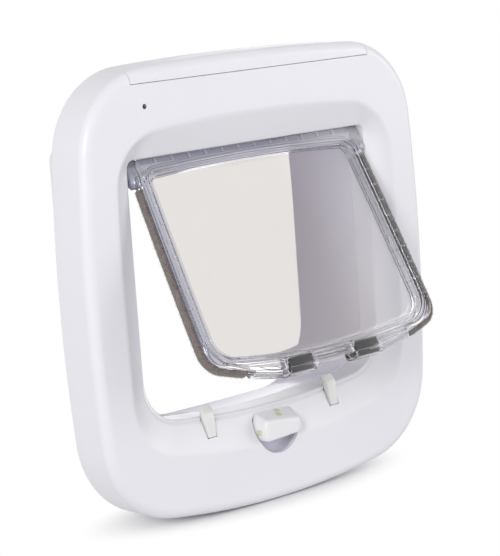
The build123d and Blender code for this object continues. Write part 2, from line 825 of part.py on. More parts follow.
def make_pinion():
    """Small spur gear with involute flanks, on the motor's shaft, turned to mesh with the rack at rest."""
    centre_x = pinion_centre_x()
    base = pinion_radius * cos(radians(pressure_angle))
    tip = pinion_radius + tooth_addendum * gear_module
    root = pinion_radius - tooth_dedendum * gear_module
    at_pitch = tan(radians(pressure_angle)) - radians(pressure_angle)
    half_tooth = pi / (2 * pinion_teeth) - tooth_backlash / (4 * pinion_radius)
    rolls = [sqrt(max((radius / base) ** 2 - 1, 0)) for radius in (max(base, root), (base + tip) / 2, tip)]
    curve = [involute_point(base, roll) for roll in rolls]
    flank = [(radius, half_tooth + at_pitch - turn) for radius, turn in curve]
    rising = [(root, -flank[0][1])] + [(radius, -turn) for radius, turn in flank]
    tooth = rising + [(radius, -turn) for radius, turn in reversed(rising)]
    points = []
    for i in range(pinion_teeth):
        middle = pi + 2 * pi * i / pinion_teeth
        points += [(centre_x + r * cos(middle + a), pinion_z + r * sin(middle + a)) for r, a in tooth]
    gear = prism(points, (carrier_front, carrier_back))
    bore_y = (carrier_front - overcut, carrier_back + overcut)
    return gear - rod(centre_x, pinion_z, pinion_bore_radius, bore_y)


def pinion_centre_x():
    """Across place of the pinion's axis: its pitch circle touches the rack's pitch line."""
    return carrier_half_width + tooth_dedendum * gear_module + pinion_radius


def rack_teeth():
    """Rack teeth on the carrier's right end, a gap level with the pinion's axis at rest."""
    pitch = pi * gear_module
    lean = tan(radians(pressure_angle))
    root_x = carrier_half_width
    pitch_x = root_x + tooth_dedendum * gear_module
    tip_x = pitch_x + tooth_addendum * gear_module
    half = pitch / 4 - tooth_backlash / 4
    root_half = half + lean * (pitch_x - root_x)
    tip_half = half - lean * (tip_x - pitch_x)
    teeth = []
    for i in range(-rack_teeth_below, rack_teeth_above):
        z = pinion_z + (i + 0.5) * pitch
        outline = [
            (root_x - gear_module, z - root_half), (root_x, z - root_half), (tip_x, z - tip_half),
            (tip_x, z + tip_half), (root_x, z + root_half), (root_x - gear_module, z + root_half)]
        teeth.append(prism(outline, (carrier_front, carrier_back)))
    return teeth


def make_carrier():
    """Plate that lifts both fingers: guide slots, a notch under the knob's cam, a rack on its right end."""
    edge = carrier_half_width
    notch = carrier_notch_half_width
    outline = [
        (-edge, carrier_bottom), (edge, carrier_bottom), (edge, carrier_top),
        (notch, carrier_top), (notch, carrier_notch_floor), (-notch, carrier_notch_floor),
        (-notch, carrier_top), (-edge, carrier_top)]
    carrier = prism(outline, (carrier_front, carrier_back))
    radius = guide_radius + slide_clearance
    y = (carrier_front - overcut, carrier_back + overcut)
    for side in (-1, 1):
        x = side * guide_x
        slot = rod(x, guide_z, radius, y) + rod(x, guide_z - latch_travel, radius, y)
        slot += block((x - radius, x + radius), y, (guide_z - latch_travel, guide_z))
        carrier -= slot
    for tooth in rack_teeth():
        carrier += tooth
    return carrier


def motor_cradle():
    """Half tube that holds the motor can, open on the rack's side."""
    x = pinion_centre_x()
    inner = motor_radius + cradle_clearance
    y = (face_back, motor_back)
    tube = rod(x, pinion_z, inner + cradle_wall, y)
    tube -= rod(x, pinion_z, inner, (face_back - overcut, motor_back + overcut))
    return tube & block((x + overcut, x + 2 * inner), y, (pinion_z - 2 * inner, pinion_z + 2 * inner))


def make_motor():
    """Motor can with a front boss and a shaft for the pinion."""
    x = pinion_centre_x()
    front = carrier_back + body_gap + motor_boss_height
    can = rod(x, pinion_z, motor_radius, (front, motor_back))
    can = fillet(can.edges(), motor_edge_round)
    boss = rod(x, pinion_z, motor_boss_radius, (front - motor_boss_height, front))
    return can + boss + rod(x, pinion_z, pinion_bore_radius - running_clearance, (carrier_front, front))


def bar_outline(radius, height, y):
    """A bar across the knob's axis with ends on a circle about it."""
    return at_depth(y) * Pos(0, knob_z) * (Circle(radius) & Rectangle(2 * radius, height))


def make_knob():
    """Tapered bar grip on a shaft with a flat."""
    back = bar_outline(knob_radius, knob_height, knob_back)
    front = bar_outline(knob_radius - knob_taper, knob_front_height, knob_front)
    grip = loft([back, front], ruled=True)
    grip = fillet(grip.faces().sort_by(Axis.Y)[0].edges(), knob_edge_round)
    return grip + flatted_shaft()


def flatted_shaft():
    """The knob's shaft, through the pocket floor and the cam, with a flat where the cam sits."""
    shaft = rod(0, knob_z, knob_shaft_radius, (knob_back, cam_front + cam_thickness))
    flat = block(
        (-knob_shaft_radius, knob_shaft_radius), (cam_front, cam_front + cam_thickness + overcut),
        (knob_z + knob_flat, knob_z + 2 * knob_shaft_radius))
    return shaft - flat


def make_cam():
    """Disc on the knob's shaft with a notch for each quarter turn."""
    cam = rod(0, knob_z, cam_radius, (cam_front, cam_front + cam_thickness))
    reach = cam_radius + cam_notch_radius - cam_notch_depth
    y = (cam_front - overcut, cam_front + cam_thickness + overcut)
    for dx, dz in ((1, 0), (0, 1), (-1, 0), (0, -1)):
        cam -= rod(dx * reach, knob_z + dz * reach, cam_notch_radius, y)
    return cam - flatted_shaft()


def detent_top():
    """Height of the detent spring's crown, just clear of the cam's rim."""
    return knob_z - cam_radius - body_gap


def detent_foot_z():
    """Height of the posts under the ends of the detent spring."""
    return detent_top() - detent_rise - detent_thickness - detent_post_radius - detent_seat_gap


def detent_back():
    """Place along Y of the detent's back edge, level with the cam's."""
    return cam_front + cam_thickness


def make_detent_spring():
    """Bowed leaf under the cam, its ends on two posts."""
    top = detent_top()
    x = detent_half_span
    upper = ThreePointArc((-x, top - detent_rise), (0, top), (x, top - detent_rise))
    lower = ThreePointArc((x, top - detent_rise - detent_thickness), (0, top - detent_thickness),
                          (-x, top - detent_rise - detent_thickness))
    ends = [Line((x, top - detent_rise), (x, top - detent_rise - detent_thickness)),
            Line((-x, top - detent_rise - detent_thickness), (-x, top - detent_rise))]
    leaf = make_face([upper, ends[0], lower, ends[1]])
    return extrude(at_depth(detent_back()) * leaf, cam_thickness)


def make_keeper(side):
    """Magnet block under the sill that meets the flap's magnet."""
    x = side * flap_magnet_x
    span = (x - flap_magnet_width / 2, x + flap_magnet_width / 2)
    inner = flap_magnet_x - flap_magnet_width / 2
    top = throat_outline.grown(wall).lower_edge(inner) - keeper_gap
    return block(span, (keeper_front, keeper_back), (top - keeper_height, top))


body = outer_body()
pieces = {
    "front_frame": make_front_frame(body),
    "battery_cover": make_battery_cover(body),
    "back_cover": make_back_cover(),
    "cover_screws": make_screws(),
    "tunnel_sleeve": make_tunnel_sleeve(),
    "reader_coil": make_reader_coil(),
    "battery_tray": make_battery_tray(),
    "contact_left": make_contact(-1),
    "contact_right": make_contact(1),
    "circuit_board": make_circuit_board(),
    "indicator_led": make_indicator_led(),
    "indicator_lens": make_indicator_lens(),
    "learn_switch": make_learn_switch(),
    "learn_button": make_learn_button(),
    "flap_panel": hang(make_flap_panel()),
    "pile_seal_left": hang(pile_strip(-1)),
    "pile_seal_right": hang(pile_strip(1)),
    "flap_magnet_left": hang(flap_magnet(-1, 0)),
    "flap_magnet_right": hang(flap_magnet(1, 0)),
    "hinge_pin_left": hang(make_hinge_pin(-1)),
    "hinge_pin_right": hang(make_hinge_pin(1)),
    "latch_finger_left": make_finger(-1),
    "latch_finger_right": make_finger(1),
    "latch_carrier": make_carrier(),
    "latch_motor": make_motor(),
    "motor_pinion": make_pinion(),
    "lock_knob": make_knob(),
    "lock_cam": make_cam(),
    "detent_spring": make_detent_spring(),
    "keeper_magnet_left": make_keeper(-1),
    "keeper_magnet_right": make_keeper(1),
}
for number, (x, y, z, side) in enumerate(cell_places(), start=1):
    pieces[f"battery_{number}"] = make_cell(x, y, z, side, number in (2, 3))

for name, piece in pieces.items():
    export_step(piece, f"parts/{name}.step")
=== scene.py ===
import json
import math

import bpy
import numpy as np
from mathutils import Matrix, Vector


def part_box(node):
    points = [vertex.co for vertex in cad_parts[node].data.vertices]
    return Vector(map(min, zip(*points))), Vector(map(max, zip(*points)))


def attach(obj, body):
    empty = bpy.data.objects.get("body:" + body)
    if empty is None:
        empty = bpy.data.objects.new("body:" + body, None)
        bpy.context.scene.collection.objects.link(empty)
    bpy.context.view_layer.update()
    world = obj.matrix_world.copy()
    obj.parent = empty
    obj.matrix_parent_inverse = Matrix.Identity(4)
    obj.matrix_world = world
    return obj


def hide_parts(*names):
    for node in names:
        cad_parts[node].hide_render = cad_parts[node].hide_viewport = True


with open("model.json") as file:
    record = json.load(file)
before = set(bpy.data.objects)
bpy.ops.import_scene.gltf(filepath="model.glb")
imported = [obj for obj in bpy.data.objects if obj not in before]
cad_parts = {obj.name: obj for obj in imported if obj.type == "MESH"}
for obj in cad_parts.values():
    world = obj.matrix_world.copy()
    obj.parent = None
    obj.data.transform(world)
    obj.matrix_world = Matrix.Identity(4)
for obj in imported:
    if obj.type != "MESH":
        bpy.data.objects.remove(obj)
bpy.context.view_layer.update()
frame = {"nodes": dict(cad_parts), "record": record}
nodes = frame["nodes"]

MM = 0.001
rng = np.random.default_rng(20)
SIDES = ((-1, "left"), (1, "right"))


def span(node):
    """A node's lowest and highest corners in millimetres."""
    return [np.array(corner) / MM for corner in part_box(node)]


def pivot(joint):
    """A joint's place in millimetres."""
    joints = frame["record"]["behaviour"]["joints"]
    return next(np.array(j["pos_m"]) / MM for j in joints if j["name"] == joint)


# Sizes in millimetres, X to the right, Y to the outside, Z up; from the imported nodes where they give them.
# Crowns are the bows of an outline's top, bottom and sides; radii are those of its upper and lower corners.

# Frame, recess and opening
frame_low, frame_high = span("front_frame")
HALF_WIDTH, HALF_HEIGHT, FACE = frame_high[0], frame_high[2], frame_low[1]
FRAME_CROWNS, FRAME_RADII = (3.9, 12.2, 6.5), (42.5, 45.5)
EDGE_ROUND, WALL = 5.0, 2.2
BAND_SIDE, BAND_TOP, BAND_BOTTOM = 19.8, 29.2, 30.1
RECESS_HALF = HALF_WIDTH - BAND_SIDE
RECESS_TOP, RECESS_BOTTOM = HALF_HEIGHT - BAND_TOP, -HALF_HEIGHT + BAND_BOTTOM
RECESS_CROWNS, RECESS_RADII = (5.1, 12.7, 1.5), (29.5, 28.3)
RAMP_SIDE, RAMP_TOP, RAMP_BOTTOM, RAMP_DEPTH = 12.8, 16.0, 18.3, 7.0
THROAT_HALF, THROAT_Y = RECESS_HALF - RAMP_SIDE, FACE + RAMP_DEPTH
THROAT_TOP, THROAT_BOTTOM = RECESS_TOP - RAMP_TOP, RECESS_BOTTOM + RAMP_BOTTOM
THROAT_CROWNS, THROAT_RADII = (0.2, 6.6, 0.2), (4.0, 22.0)
BEAD_TOP, BEAD_FADE = -38.0, 14.0

# Tunnel and aerial coil
sleeve_low, sleeve_high = span("tunnel_sleeve")
COLLAR_END, SLEEVE_END = sleeve_low[1], sleeve_high[1]
SLEEVE_WALL, SLEEVE_FLANGE, FLANGE_BACK, SLEEVE_FALL = 1.8, 5.0, -2.5, 8.8
SLEEVE_TOP, SLEEVE_CROWNS = sleeve_high[2] - SLEEVE_FLANGE, (2.0, 6.6, 0.2)
MOUTH_BOTTOM = THROAT_BOTTOM - SLEEVE_FALL
MOUTH_CROWNS, MOUTH_RADII = (2.0, 1.5, 0.2), (4.5, 33.0)
coil_low, coil_high = span("reader_coil")
COIL_INSIDE, COIL_OUTSIDE, COIL_RIDGE, COIL_ROWS = 3.6, 5.2, 0.12, 9

# Flap and pile, about the hinge axis as the flap hangs straight down
HINGE = pivot("flap_swing")
FLAP_TURN = math.radians(28.0)
PILE_WIDTH, PILE_TOP, PILE_END = 3.1, -11.0, 53.0
FLAP_HALF, FLAP_TOP, FLAP_BOTTOM = span("pile_seal_right")[1][0] - PILE_WIDTH, 1.6, -118.2
FLAP_CROWNS, FLAP_RADII = (0.2, 13.0, 0.6), (4.0, 10.5)
FLARE, FLARE_AT = 0.034, 72.0
BAR_HALF, BAR_ROUND, PANE_DEPTH, LEDGE_DEPTH = 4.0, 1.5, 1.3, 2.7
BAR_WIDTH, LOWER_BAR = 7.4, 10.2
PANE_HALF, PANE_TOP, PANE_BOTTOM = FLAP_HALF - BAR_WIDTH, -6.3, FLAP_BOTTOM + LOWER_BAR
PANE_CROWNS, PANE_RADII = (2.5, 5.5, 0.5), (4.0, 12.0)
MAGNET_X, MAGNET_HALF, MAGNET_LOW, MAGNET_HIGH = 22.0, 8.5, -117.6, -110.4
MAGNET_DEPTH, MAGNET_BEVEL, HOUSING_WALL, POCKET_GAP = 3.3, 2.2, 1.0, 0.2
NOTCH_DEPTH, NOTCH_RISE = 8.0, 2.9
SLOT_COUNT, SLOT_PITCH, SLOT_HALF = 13, 10.7, 4.6
RIB_COUNT, RIB_PITCH, RIB_HALF = 10, 8.8, 0.45
EAR_HALF, EAR_UP, EAR_DOWN, EAR_SQUARENESS = 2.9, 2.3, 12.6, 0.6
PILE_MIDDLE, ROOT_DEPTH, TIP_DEPTH, FIBRE_REACH, FIBRE_R = -60.0, 2.15, 2.2, 2.95, 0.075
EASE_POINTS = 5

# Lock, fingers, battery cover and light
KNOB = pivot("knob_turn")
POCKET_R, POCKET_FLOOR, CUP_WALL, CUP_FLANGE = 14.3, THROAT_Y - 1.5, 1.4, 1.09
KNOB_BACK, KNOB_FRONT, KNOB_ROUND, KNOB_EASE = -19.8, -29.6, 1.9, 1.3
SHAFT_R, SHAFT_SPAN, GRIP_REACH = 3.0, (-20.2, -13.6), 9
GRIP_FOOT = np.array([(-11.4, 7.3), (-13.6, 2.6), (-13.6, -2.6), (-11.8, -6.6),
                      (11.8, -6.6), (13.5, -2.4), (13.5, 2.4), (11.6, 7.0)])
GRIP_FACE = np.array([(-11.2, 4.6), (-12.6, 1.2), (-12.6, -3.0), (-11.4, -6.3),
                      (9.6, -5.2), (11.9, -3.4), (12.1, -0.4), (10.6, 2.2)])
finger_low, finger_high = span("latch_finger_right")
FINGER_X, FINGER_FOOT = (finger_low[0] + finger_high[0]) / 2, THROAT_BOTTOM - 8.4
FINGER_GAP, SLOT_FOOT_HALF, SLOT_TOP_HALF = 0.3, 3.2, 6.4
SEAM_X, SEAM_Z, SEAM_GAP = 78.0, HALF_HEIGHT - 9.4, 0.3
COVER_WALL, COVER_BACK, COVER_REACH = 2.0, -4.0, 14.0
lens_low, lens_high = span("indicator_lens")
LENS_X, LENS_Z, LENS_HOLE_R = (lens_low[0] + lens_high[0]) / 2, (lens_low[2] + lens_high[2]) / 2, 1.25


# Outlines and grids

def circle_through(a, b, c):
    """Centre and radius of the circle through three points, from the two equations of equal distance."""
    a, b, c = (np.asarray(p, float) for p in (a, b, c))
    rows = 2 * np.array([b - a, c - a])
    centre = np.linalg.solve(rows, [b @ b - a @ a, c @ c - a @ a])
    return centre, np.hypot(*(a - centre))


def arc_points(centre, start, end, count):
    """Points on the short arc about a centre, at even angles from start to end."""
    first = np.arctan2(*(start - centre)[::-1])
    sweep = (np.arctan2(*(end - centre)[::-1]) - first + np.pi) % (2 * np.pi) - np.pi
    angle = first + sweep * np.linspace(0, 1, count)
    return centre + np.hypot(*(start - centre)) * np.column_stack([np.cos(angle), np.sin(angle)])


def corner_centre(c1, r1, c2, r2, near):
    """The crossing of two circles nearest to a point: the centre of a rounding inside two bowed sides."""
    gap = c2 - c1
    length = np.hypot(*gap)
    along = (length ** 2 + r1 ** 2 - r2 ** 2) / (2 * length)
    across = np.sqrt(max(r1 ** 2 - along ** 2, 0))
    unit = gap / length
    side = np.array([-unit[1], unit[0]])
    both = np.array([c1 + along * unit + across * side, c1 + along * unit - across * side])
    return both[np.argmin(np.hypot(*(both - near).T))]


def bowed_outline(half, top, bottom, crowns, radii):
    """Closed outline of a rounded rectangle with bowed sides, as (x, z) rows from the middle of the bottom.

    Each side is an arc through two virtual corners and the side's middle; a circle touching two sides rounds
    each corner. The right half is worked out and mirrored.
    """
    crown_top, crown_bottom, crown_side = crowns
    x, high, low = half - crown_side, top - crown_top, bottom + crown_bottom
    base_c, base_r = circle_through((-x, low), (0, bottom), (x, low))
    head_c, head_r = circle_through((-x, high), (0, top), (x, high))
    side_c, side_r = circle_through((x, low), (half, (top + bottom) / 2), (x, high))
    r_top, r_bottom = radii
    lower = corner_centre(side_c, side_r - r_bottom, base_c, base_r - r_bottom,
                          np.array([x - r_bottom, low + r_bottom]))
    upper = corner_centre(side_c, side_r - r_top, head_c, head_r - r_top, np.array([x - r_top, high - r_top]))

    def touch(centre, radius, towards):
        """The point of a circle that lies towards a place."""
        return centre + radius * (towards - centre) / np.hypot(*(towards - centre))

    p1, p2 = touch(base_c, base_r, lower), touch(side_c, side_r, lower)
    p3, p4 = touch(side_c, side_r, upper), touch(head_c, head_r, upper)
    ends, corner, side = 22, 16, 26
    right = np.concatenate([
        arc_points(base_c, np.array([0.0, bottom]), p1, ends)[:-1], arc_points(lower, p1, p2, corner)[:-1],
        arc_points(side_c, p2, p3, side)[:-1], arc_points(upper, p3, p4, corner)[:-1],
        arc_points(head_c, p4, np.array([0.0, top]), ends)])
    return np.concatenate([right, right[-2:0:-1] * [-1, 1]])


def grown(half, top, bottom, crowns, radii, by):
    """A bowed outline set outwards by an even amount."""
    return bowed_outline(half + by, top + by, bottom - by, crowns, (radii[0] + by, radii[1] + by))


def frame_outline(inset):
    """Outline of the frame's outside, set inwards."""
    return grown(HALF_WIDTH, HALF_HEIGHT, -HALF_HEIGHT, FRAME_CROWNS, FRAME_RADII, -inset)


def recess_outline(by):
    """Outline of the sloped recess at the face, set outwards."""
    return grown(RECESS_HALF, RECESS_TOP, RECESS_BOTTOM, RECESS_CROWNS, RECESS_RADII, by)


def throat_outline(by):
    """Outline of the opening at the foot of the recess, set outwards."""
    return grown(THROAT_HALF, THROAT_TOP, THROAT_BOTTOM, THROAT_CROWNS, THROAT_RADII, by)


def sleeve_outline(by):
    """Outline of the tunnel's outside at its inner end, set outwards."""
    return grown(THROAT_HALF, SLEEVE_TOP, THROAT_BOTTOM, SLEEVE_CROWNS, THROAT_RADII, by)


def mouth_outline(by):
    """Outline of the tunnel at its outer end, set outwards."""
    return grown(THROAT_HALF, SLEEVE_TOP, MOUTH_BOTTOM, MOUTH_CROWNS, MOUTH_RADII, by)


def flared(outline):
    """An outline about the hinge axis made narrower above and wider below: x grows evenly with the drop."""
    x, z = outline.T
    return np.column_stack([x * (1 - FLARE * (z + FLARE_AT) / FLAP_HALF), z])


def flap_outline(by):
    """Outline of the hanging flap about its hinge axis, set outwards."""
    return flared(grown(FLAP_HALF, FLAP_TOP, FLAP_BOTTOM, FLAP_CROWNS, FLAP_RADII, by))


def pane_outline(by):
    """Outline of the flap's thin pane, set outwards."""
    return flared(grown(PANE_HALF, PANE_TOP, PANE_BOTTOM, PANE_CROWNS, PANE_RADII, by))


def level(outline, y):
    """An outline of (x, z) rows placed at one depth y, as (x, y, z) rows."""
    return np.column_stack([outline[:, 0], np.full(len(outline), y), outline[:, 1]])


def bend(a, b, c, count):
    """Rows on the parabola that leaves a towards b and arrives at c from b, ends included."""
    t = np.linspace(0, 1, count)[:, None, None]
    return list((1 - t) ** 2 * a + 2 * t * (1 - t) * b + t ** 2 * c)


def grid_faces(rows, columns, wrap_rows, wrap_columns):
    """Quads of a grid of points, closed on itself along either way."""
    i = np.arange(rows if wrap_rows else rows - 1)[:, None]
    j = np.arange(columns if wrap_columns else columns - 1)[None, :]
    k, m = (i + 1) % rows, (j + 1) % columns
    return np.stack([i * columns + j, i * columns + m, k * columns + m, k * columns + j], -1).reshape(-1, 4)


def facing_out(points, quads):
    """Quads turned so that the closed surface holds a positive volume."""
    a, b, c, d = (points[quads[:, n]] for n in range(4))
    volume = (np.cross(a, b) * c).sum() + (np.cross(a, c) * d).sum()
    return quads if volume > 0 else quads[:, [1, 0, 3, 2]]


def ring_surface(levels):
    """Closed tube through a list of levels, the last joined to the first."""
    points = np.concatenate(levels)
    quads = grid_faces(len(levels), len(levels[0]), True, True)
    return points, facing_out(points, quads)


def capped_surface(levels):
    """Closed surface through a list of levels, shut at each end by a fan to the level's middle."""
    count = len(levels[0])
    points = np.concatenate(levels + [levels[0].mean(0)[None], levels[-1].mean(0)[None]])
    quads = grid_faces(len(levels), count, False, True)
    j = np.arange(count)
    m = (j + 1) % count
    first, last = len(levels) * count, len(levels) * count + 1
    base = (len(levels) - 1) * count
    start = np.column_stack([m, j, np.full(count, first), np.full(count, first)])
    end = np.column_stack([base + j, base + m, np.full(count, last), np.full(count, last)])
    return points, facing_out(points, np.concatenate([start, quads, end]))


def mesh_of(name, points, quads, crease=32):
    """A mesh in metres from millimetre points, smooth up to a crease; a repeated corner makes a triangle."""
    faces = [q[:3] if q[2] == q[3] else q for q in quads.tolist()]
    mesh = bpy.data.meshes.new(name)
    mesh.from_pydata((points * MM).tolist(), [], faces)
    return shaded(mesh, crease)


def shaded(mesh, crease=32):
    """Smooth faces with sharp edges where the surface turns more than an angle."""
    mesh.polygons.foreach_set("use_smooth", np.ones(len(mesh.polygons), bool))
    mesh.set_sharp_from_angle(angle=math.radians(crease))
    mesh.update()
    return mesh


def places(mesh):
    """Places of a mesh's points in millimetres."""
    flat = np.empty(3 * len(mesh.vertices), np.float32)
    mesh.vertices.foreach_get("co", flat)
    return flat.reshape(-1, 3) / MM


def toned(mesh, name, values):
    """The mesh with a number on each of its points, for a finish to read."""
    mesh.attributes.new(name, "FLOAT", "POINT").data.foreach_set("value", values.astype(np.float32))
    return mesh


def staged(name, data):
    """A mesh, lamp or camera as an object of the scene."""
    obj = bpy.data.objects.new(name, data)
    bpy.context.scene.collection.objects.link(obj)
    return obj


def piece(name, mesh, body, material, replaced=()):
    """An object at the origin that rides on a body, with its finish and the nodes it stands for."""
    obj = staged(name, mesh)
    mesh.materials.clear()
    mesh.materials.append(material)
    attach(obj, body)
    if replaced:
        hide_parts(*replaced)
    return obj


def box_points(x, y, z):
    """Corners and quads of a box between two values on each axis."""
    corners = np.array([(a, b, c) for a in x for b in y for c in z], float)
    quads = np.array([(0, 1, 3, 2), (4, 6, 7, 5), (0, 4, 5, 1), (2, 3, 7, 6), (0, 2, 6, 4), (1, 5, 7, 3)])
    return corners, facing_out(corners, quads)


def turned_surface(x, z, profile, count):
    """A solid turned about a line along Y, from rows of radius and depth, shut by fans."""
    angle = np.linspace(0, 2 * np.pi, count, endpoint=False)
    ring = np.column_stack([np.cos(angle), np.sin(angle)])
    return capped_surface([level([x, z] + radius * ring, depth) for radius, depth in profile])


def rod_points(x, z, radius, y, count):
    """A cylinder along Y: circles at two depths, shut by fans."""
    return turned_surface(x, z, [(radius, depth) for depth in y], count)


def joined(parts):
    """Several surfaces as one list of points and quads."""
    starts = np.cumsum([0] + [len(points) for points, _ in parts[:-1]])
    return (np.concatenate([points for points, _ in parts]),
            np.concatenate([quads + start for (_, quads), start in zip(parts, starts)]))


def carved(mesh, tool_surface, operation):
    """A mesh with a tool's surface cut away from it, added to it or shared with it."""
    tool, target = staged("tool", mesh_of("tool", *tool_surface)), staged("target", mesh)
    cut = target.modifiers.new("cut", "BOOLEAN")
    cut.operation, cut.solver, cut.object = operation, "EXACT", tool
    graph = bpy.context.evaluated_depsgraph_get()
    result = bpy.data.meshes.new_from_object(target.evaluated_get(graph))
    for obj in (tool, target):
        bpy.data.objects.remove(obj)
    return shaded(result)


# Finishes

NOISE_SPAN = (0.3, 0.7)
FINE_GRAIN = 0.003 * MM


class Graph:
    """A node tree and short ways to add to it."""

    def __init__(self, tree):
        self.tree = tree

    def node(self, kind, inputs=(), **settings):
        """A node with its settings, and its inputs linked or set."""
        made = self.tree.nodes.new(kind)
        for key, value in settings.items():
            setattr(made, key, value)
        for key, value in dict(inputs).items():
            if hasattr(value, "is_linked"):
                self.tree.links.new(value, made.inputs[key])
            else:
                made.inputs[key].default_value = value
        return made

    def maths(self, operation, *values):
        """Numbers put through one operation."""
        return self.node("ShaderNodeMath", dict(enumerate(values)), operation=operation).outputs[0]

    def ramp(self, value, start, end, low=0.0, high=1.0, kind="LINEAR"):
        """A number carried from one range to another and held at its ends."""
        spans = {"Value": value, "From Min": start, "From Max": end, "To Min": low, "To Max": high}
        return self.node("ShaderNodeMapRange", spans, interpolation_type=kind).outputs["Result"]

    def seen(self):
        """One for rays of the lens, also by way of gloss or clear plastic, and nothing for the others."""
        path = self.node("ShaderNodeLightPath").outputs
        bounced = self.maths("MAXIMUM", path["Is Glossy Ray"], path["Is Transmission Ray"])
        return self.maths("MAXIMUM", path["Is Camera Ray"], bounced)


class Finish(Graph):
    """A material with one Principled shader, whose patterns lie in the piece's own metres."""

    def __init__(self, name, colour, roughness):
        self.material = bpy.data.materials.new(name)
        self.material.use_nodes = True
        super().__init__(self.material.node_tree)
        self.shader = self.tree.nodes["Principled BSDF"]
        self.shader.inputs["Base Color"].default_value = (*colour, 1)
        self.shader.inputs["Roughness"].default_value = roughness
        self.place = self.node("ShaderNodeTexCoord").outputs["Object"]

    def axes(self):
        """The three sockets of the piece's own place."""
        return self.node("ShaderNodeSeparateXYZ", {"Vector": self.place}).outputs

    def attribute(self, name):
        """A number that the piece's own points carry."""
        return self.node("ShaderNodeAttribute", attribute_name=name).outputs["Fac"]

    def noise(self, scale, detail=3.0):
        """Cloudy pattern in the piece's own metres."""
        return self.node("ShaderNodeTexNoise", {
            "Vector": self.place, "Scale": scale, "Detail": detail, "Roughness": 0.55}).outputs["Fac"]

    def spread(self, value, low, high):
        """A pattern's usual span brought to a range of numbers."""
        return self.ramp(value, *NOISE_SPAN, low, high)

    def mixed(self, share, first, second):
        """Two colours mixed by a share."""
        first, second = ((*tone, 1) if isinstance(tone, tuple) else tone for tone in (first, second))
        return self.node("ShaderNodeMix", {0: share, 6: first, 7: second}, data_type="RGBA").outputs[2]

    def clouded(self, colour, scale, share, detail=3.0):
        """A colour that drifts in clouds to a share of itself."""
        darker = tuple(channel * share for channel in colour)
        return self.mixed(self.spread(self.noise(scale, detail), 0.0, 1.0), colour, darker)

    def link(self, socket, value):
        """One of the shader's sockets fed from a node."""
        self.tree.links.new(value, self.shader.inputs[socket])

    def bump(self, height, distance):
        """Small relief from a pattern, with its height in metres."""
        made = self.node("ShaderNodeBump", {"Height": height, "Distance": distance, "Strength": 1.0})
        self.link("Normal", made.outputs["Normal"])

    def set(self, **values):
        """Plain numbers on the shader's own sockets."""
        for key, value in values.items():
            self.shader.inputs[key.replace("_", " ")].default_value = value
        return self


def moulded(name, colour, roughness, drift=0.02, grain=FINE_GRAIN, inside=None):
    """Moulded plastic: slow drift of tone, uneven gloss and very fine grain, and painted light: paler by an
    attribute inside the opening, to lift its shade.
    """
    made = Finish(name, colour, roughness)
    tone = made.clouded(colour, 9, 1 - drift)
    # painted light: paler inside the opening, where the collar attribute marks the shaded ramp and collar
    if inside:
        tone = made.mixed(made.attribute("collar"), tone, inside)
    made.link("Base Color", tone)
    made.link("Roughness", made.spread(made.noise(60, 1.0), roughness - 0.03, roughness + 0.03))
    made.bump(made.noise(1500, 1.0), grain)
    return made.material


def lining(name, near, far, outside):
    """Moulded lining, white outside and, by an attribute, greying in its bore from collar to mouth: painted
    shade, darker towards the deep mouth end.
    """
    made = Finish(name, near, 0.36)
    # painted shade: the bore darkens from collar to mouth, as the light falls off deep inside
    share = made.ramp(made.axes()["Y"], COLLAR_END * MM, SLEEVE_END * MM)
    wear_and_painted_shade = made.mixed(share, made.clouded(near, 9, 0.98), far)
    made.link("Base Color", made.mixed(made.attribute("bore"), made.clouded(outside, 9, 0.98), wear_and_painted_shade))
    made.bump(made.noise(1500, 1.0), FINE_GRAIN)
    return made.material


def metal(name, colour, roughness, stretch=(1, 1, 1), drift=0.12):
    """Bare metal: fine lines drawn along one way and patchy gloss."""
    made = Finish(name, colour, roughness)
    turned = made.node("ShaderNodeMapping", {"Vector": made.place, "Scale": stretch}).outputs["Vector"]
    lines = made.node("ShaderNodeTexNoise", {"Vector": turned, "Scale": 900.0, "Detail": 4.0}).outputs["Fac"]
    darker = tuple(channel * (1 - drift) for channel in colour)
    made.link("Base Color", made.mixed(made.spread(lines, 0.0, 1.0), colour, darker))
    made.link("Roughness", made.spread(lines, roughness - 0.06, roughness + 0.08))
    made.bump(lines, 0.008 * MM)
    return made.set(Metallic=1.0).material


def clear_tinted(name, colour, pale, bar_shade_colour):
    """Clear moulding: a tint that thins to one side as painted light, brightening the shaded wall and ramp
    seen through it; deeper and hazy in the bars by its own attributes, the deeper tone partly painted shade.
    """
    made = Finish(name, colour, 0.03)
    # painted light: the tint thins to the pale colour on the right
    thin = made.ramp(made.axes()["X"], 12.0 * MM, 60.0 * MM, kind="SMOOTHSTEP")
    pane = made.mixed(thin, made.clouded(colour, 14, 0.985), pale)
    bar = made.mixed(thin, bar_shade_colour, tuple(0.5 * (a + b) for a, b in zip(bar_shade_colour, pale)))
    # the bar tone mixes in painted shade: the bars' dark look through the plastic
    made.link("Base Color", made.mixed(made.attribute("bar_tint_and_shade"), pane, bar))
    haze = made.attribute("bar_haze")
    made.link("Roughness", made.maths("MULTIPLY_ADD", haze, 0.12, made.spread(made.noise(120), 0.015, 0.05)))
    made.link("Transmission Weight", made.ramp(haze, 0.0, 1.0, 1.0, 0.5))
    made.bump(made.noise(60, 1.0), 0.03 * MM)
    return made.set(IOR=1.45).material


def milky(name, colour):
    """Milky plastic that lets some light through, with faint clouds."""
    made = Finish(name, colour, 0.28)
    made.link("Base Color", made.clouded(colour, 220, 0.95))
    made.bump(made.noise(2200, 2.0), 0.02 * MM)
    soak = (0.004, 0.004, 0.0035)
    return made.set(Transmission_Weight=0.1, Subsurface_Weight=0.3, Subsurface_Radius=soak).material


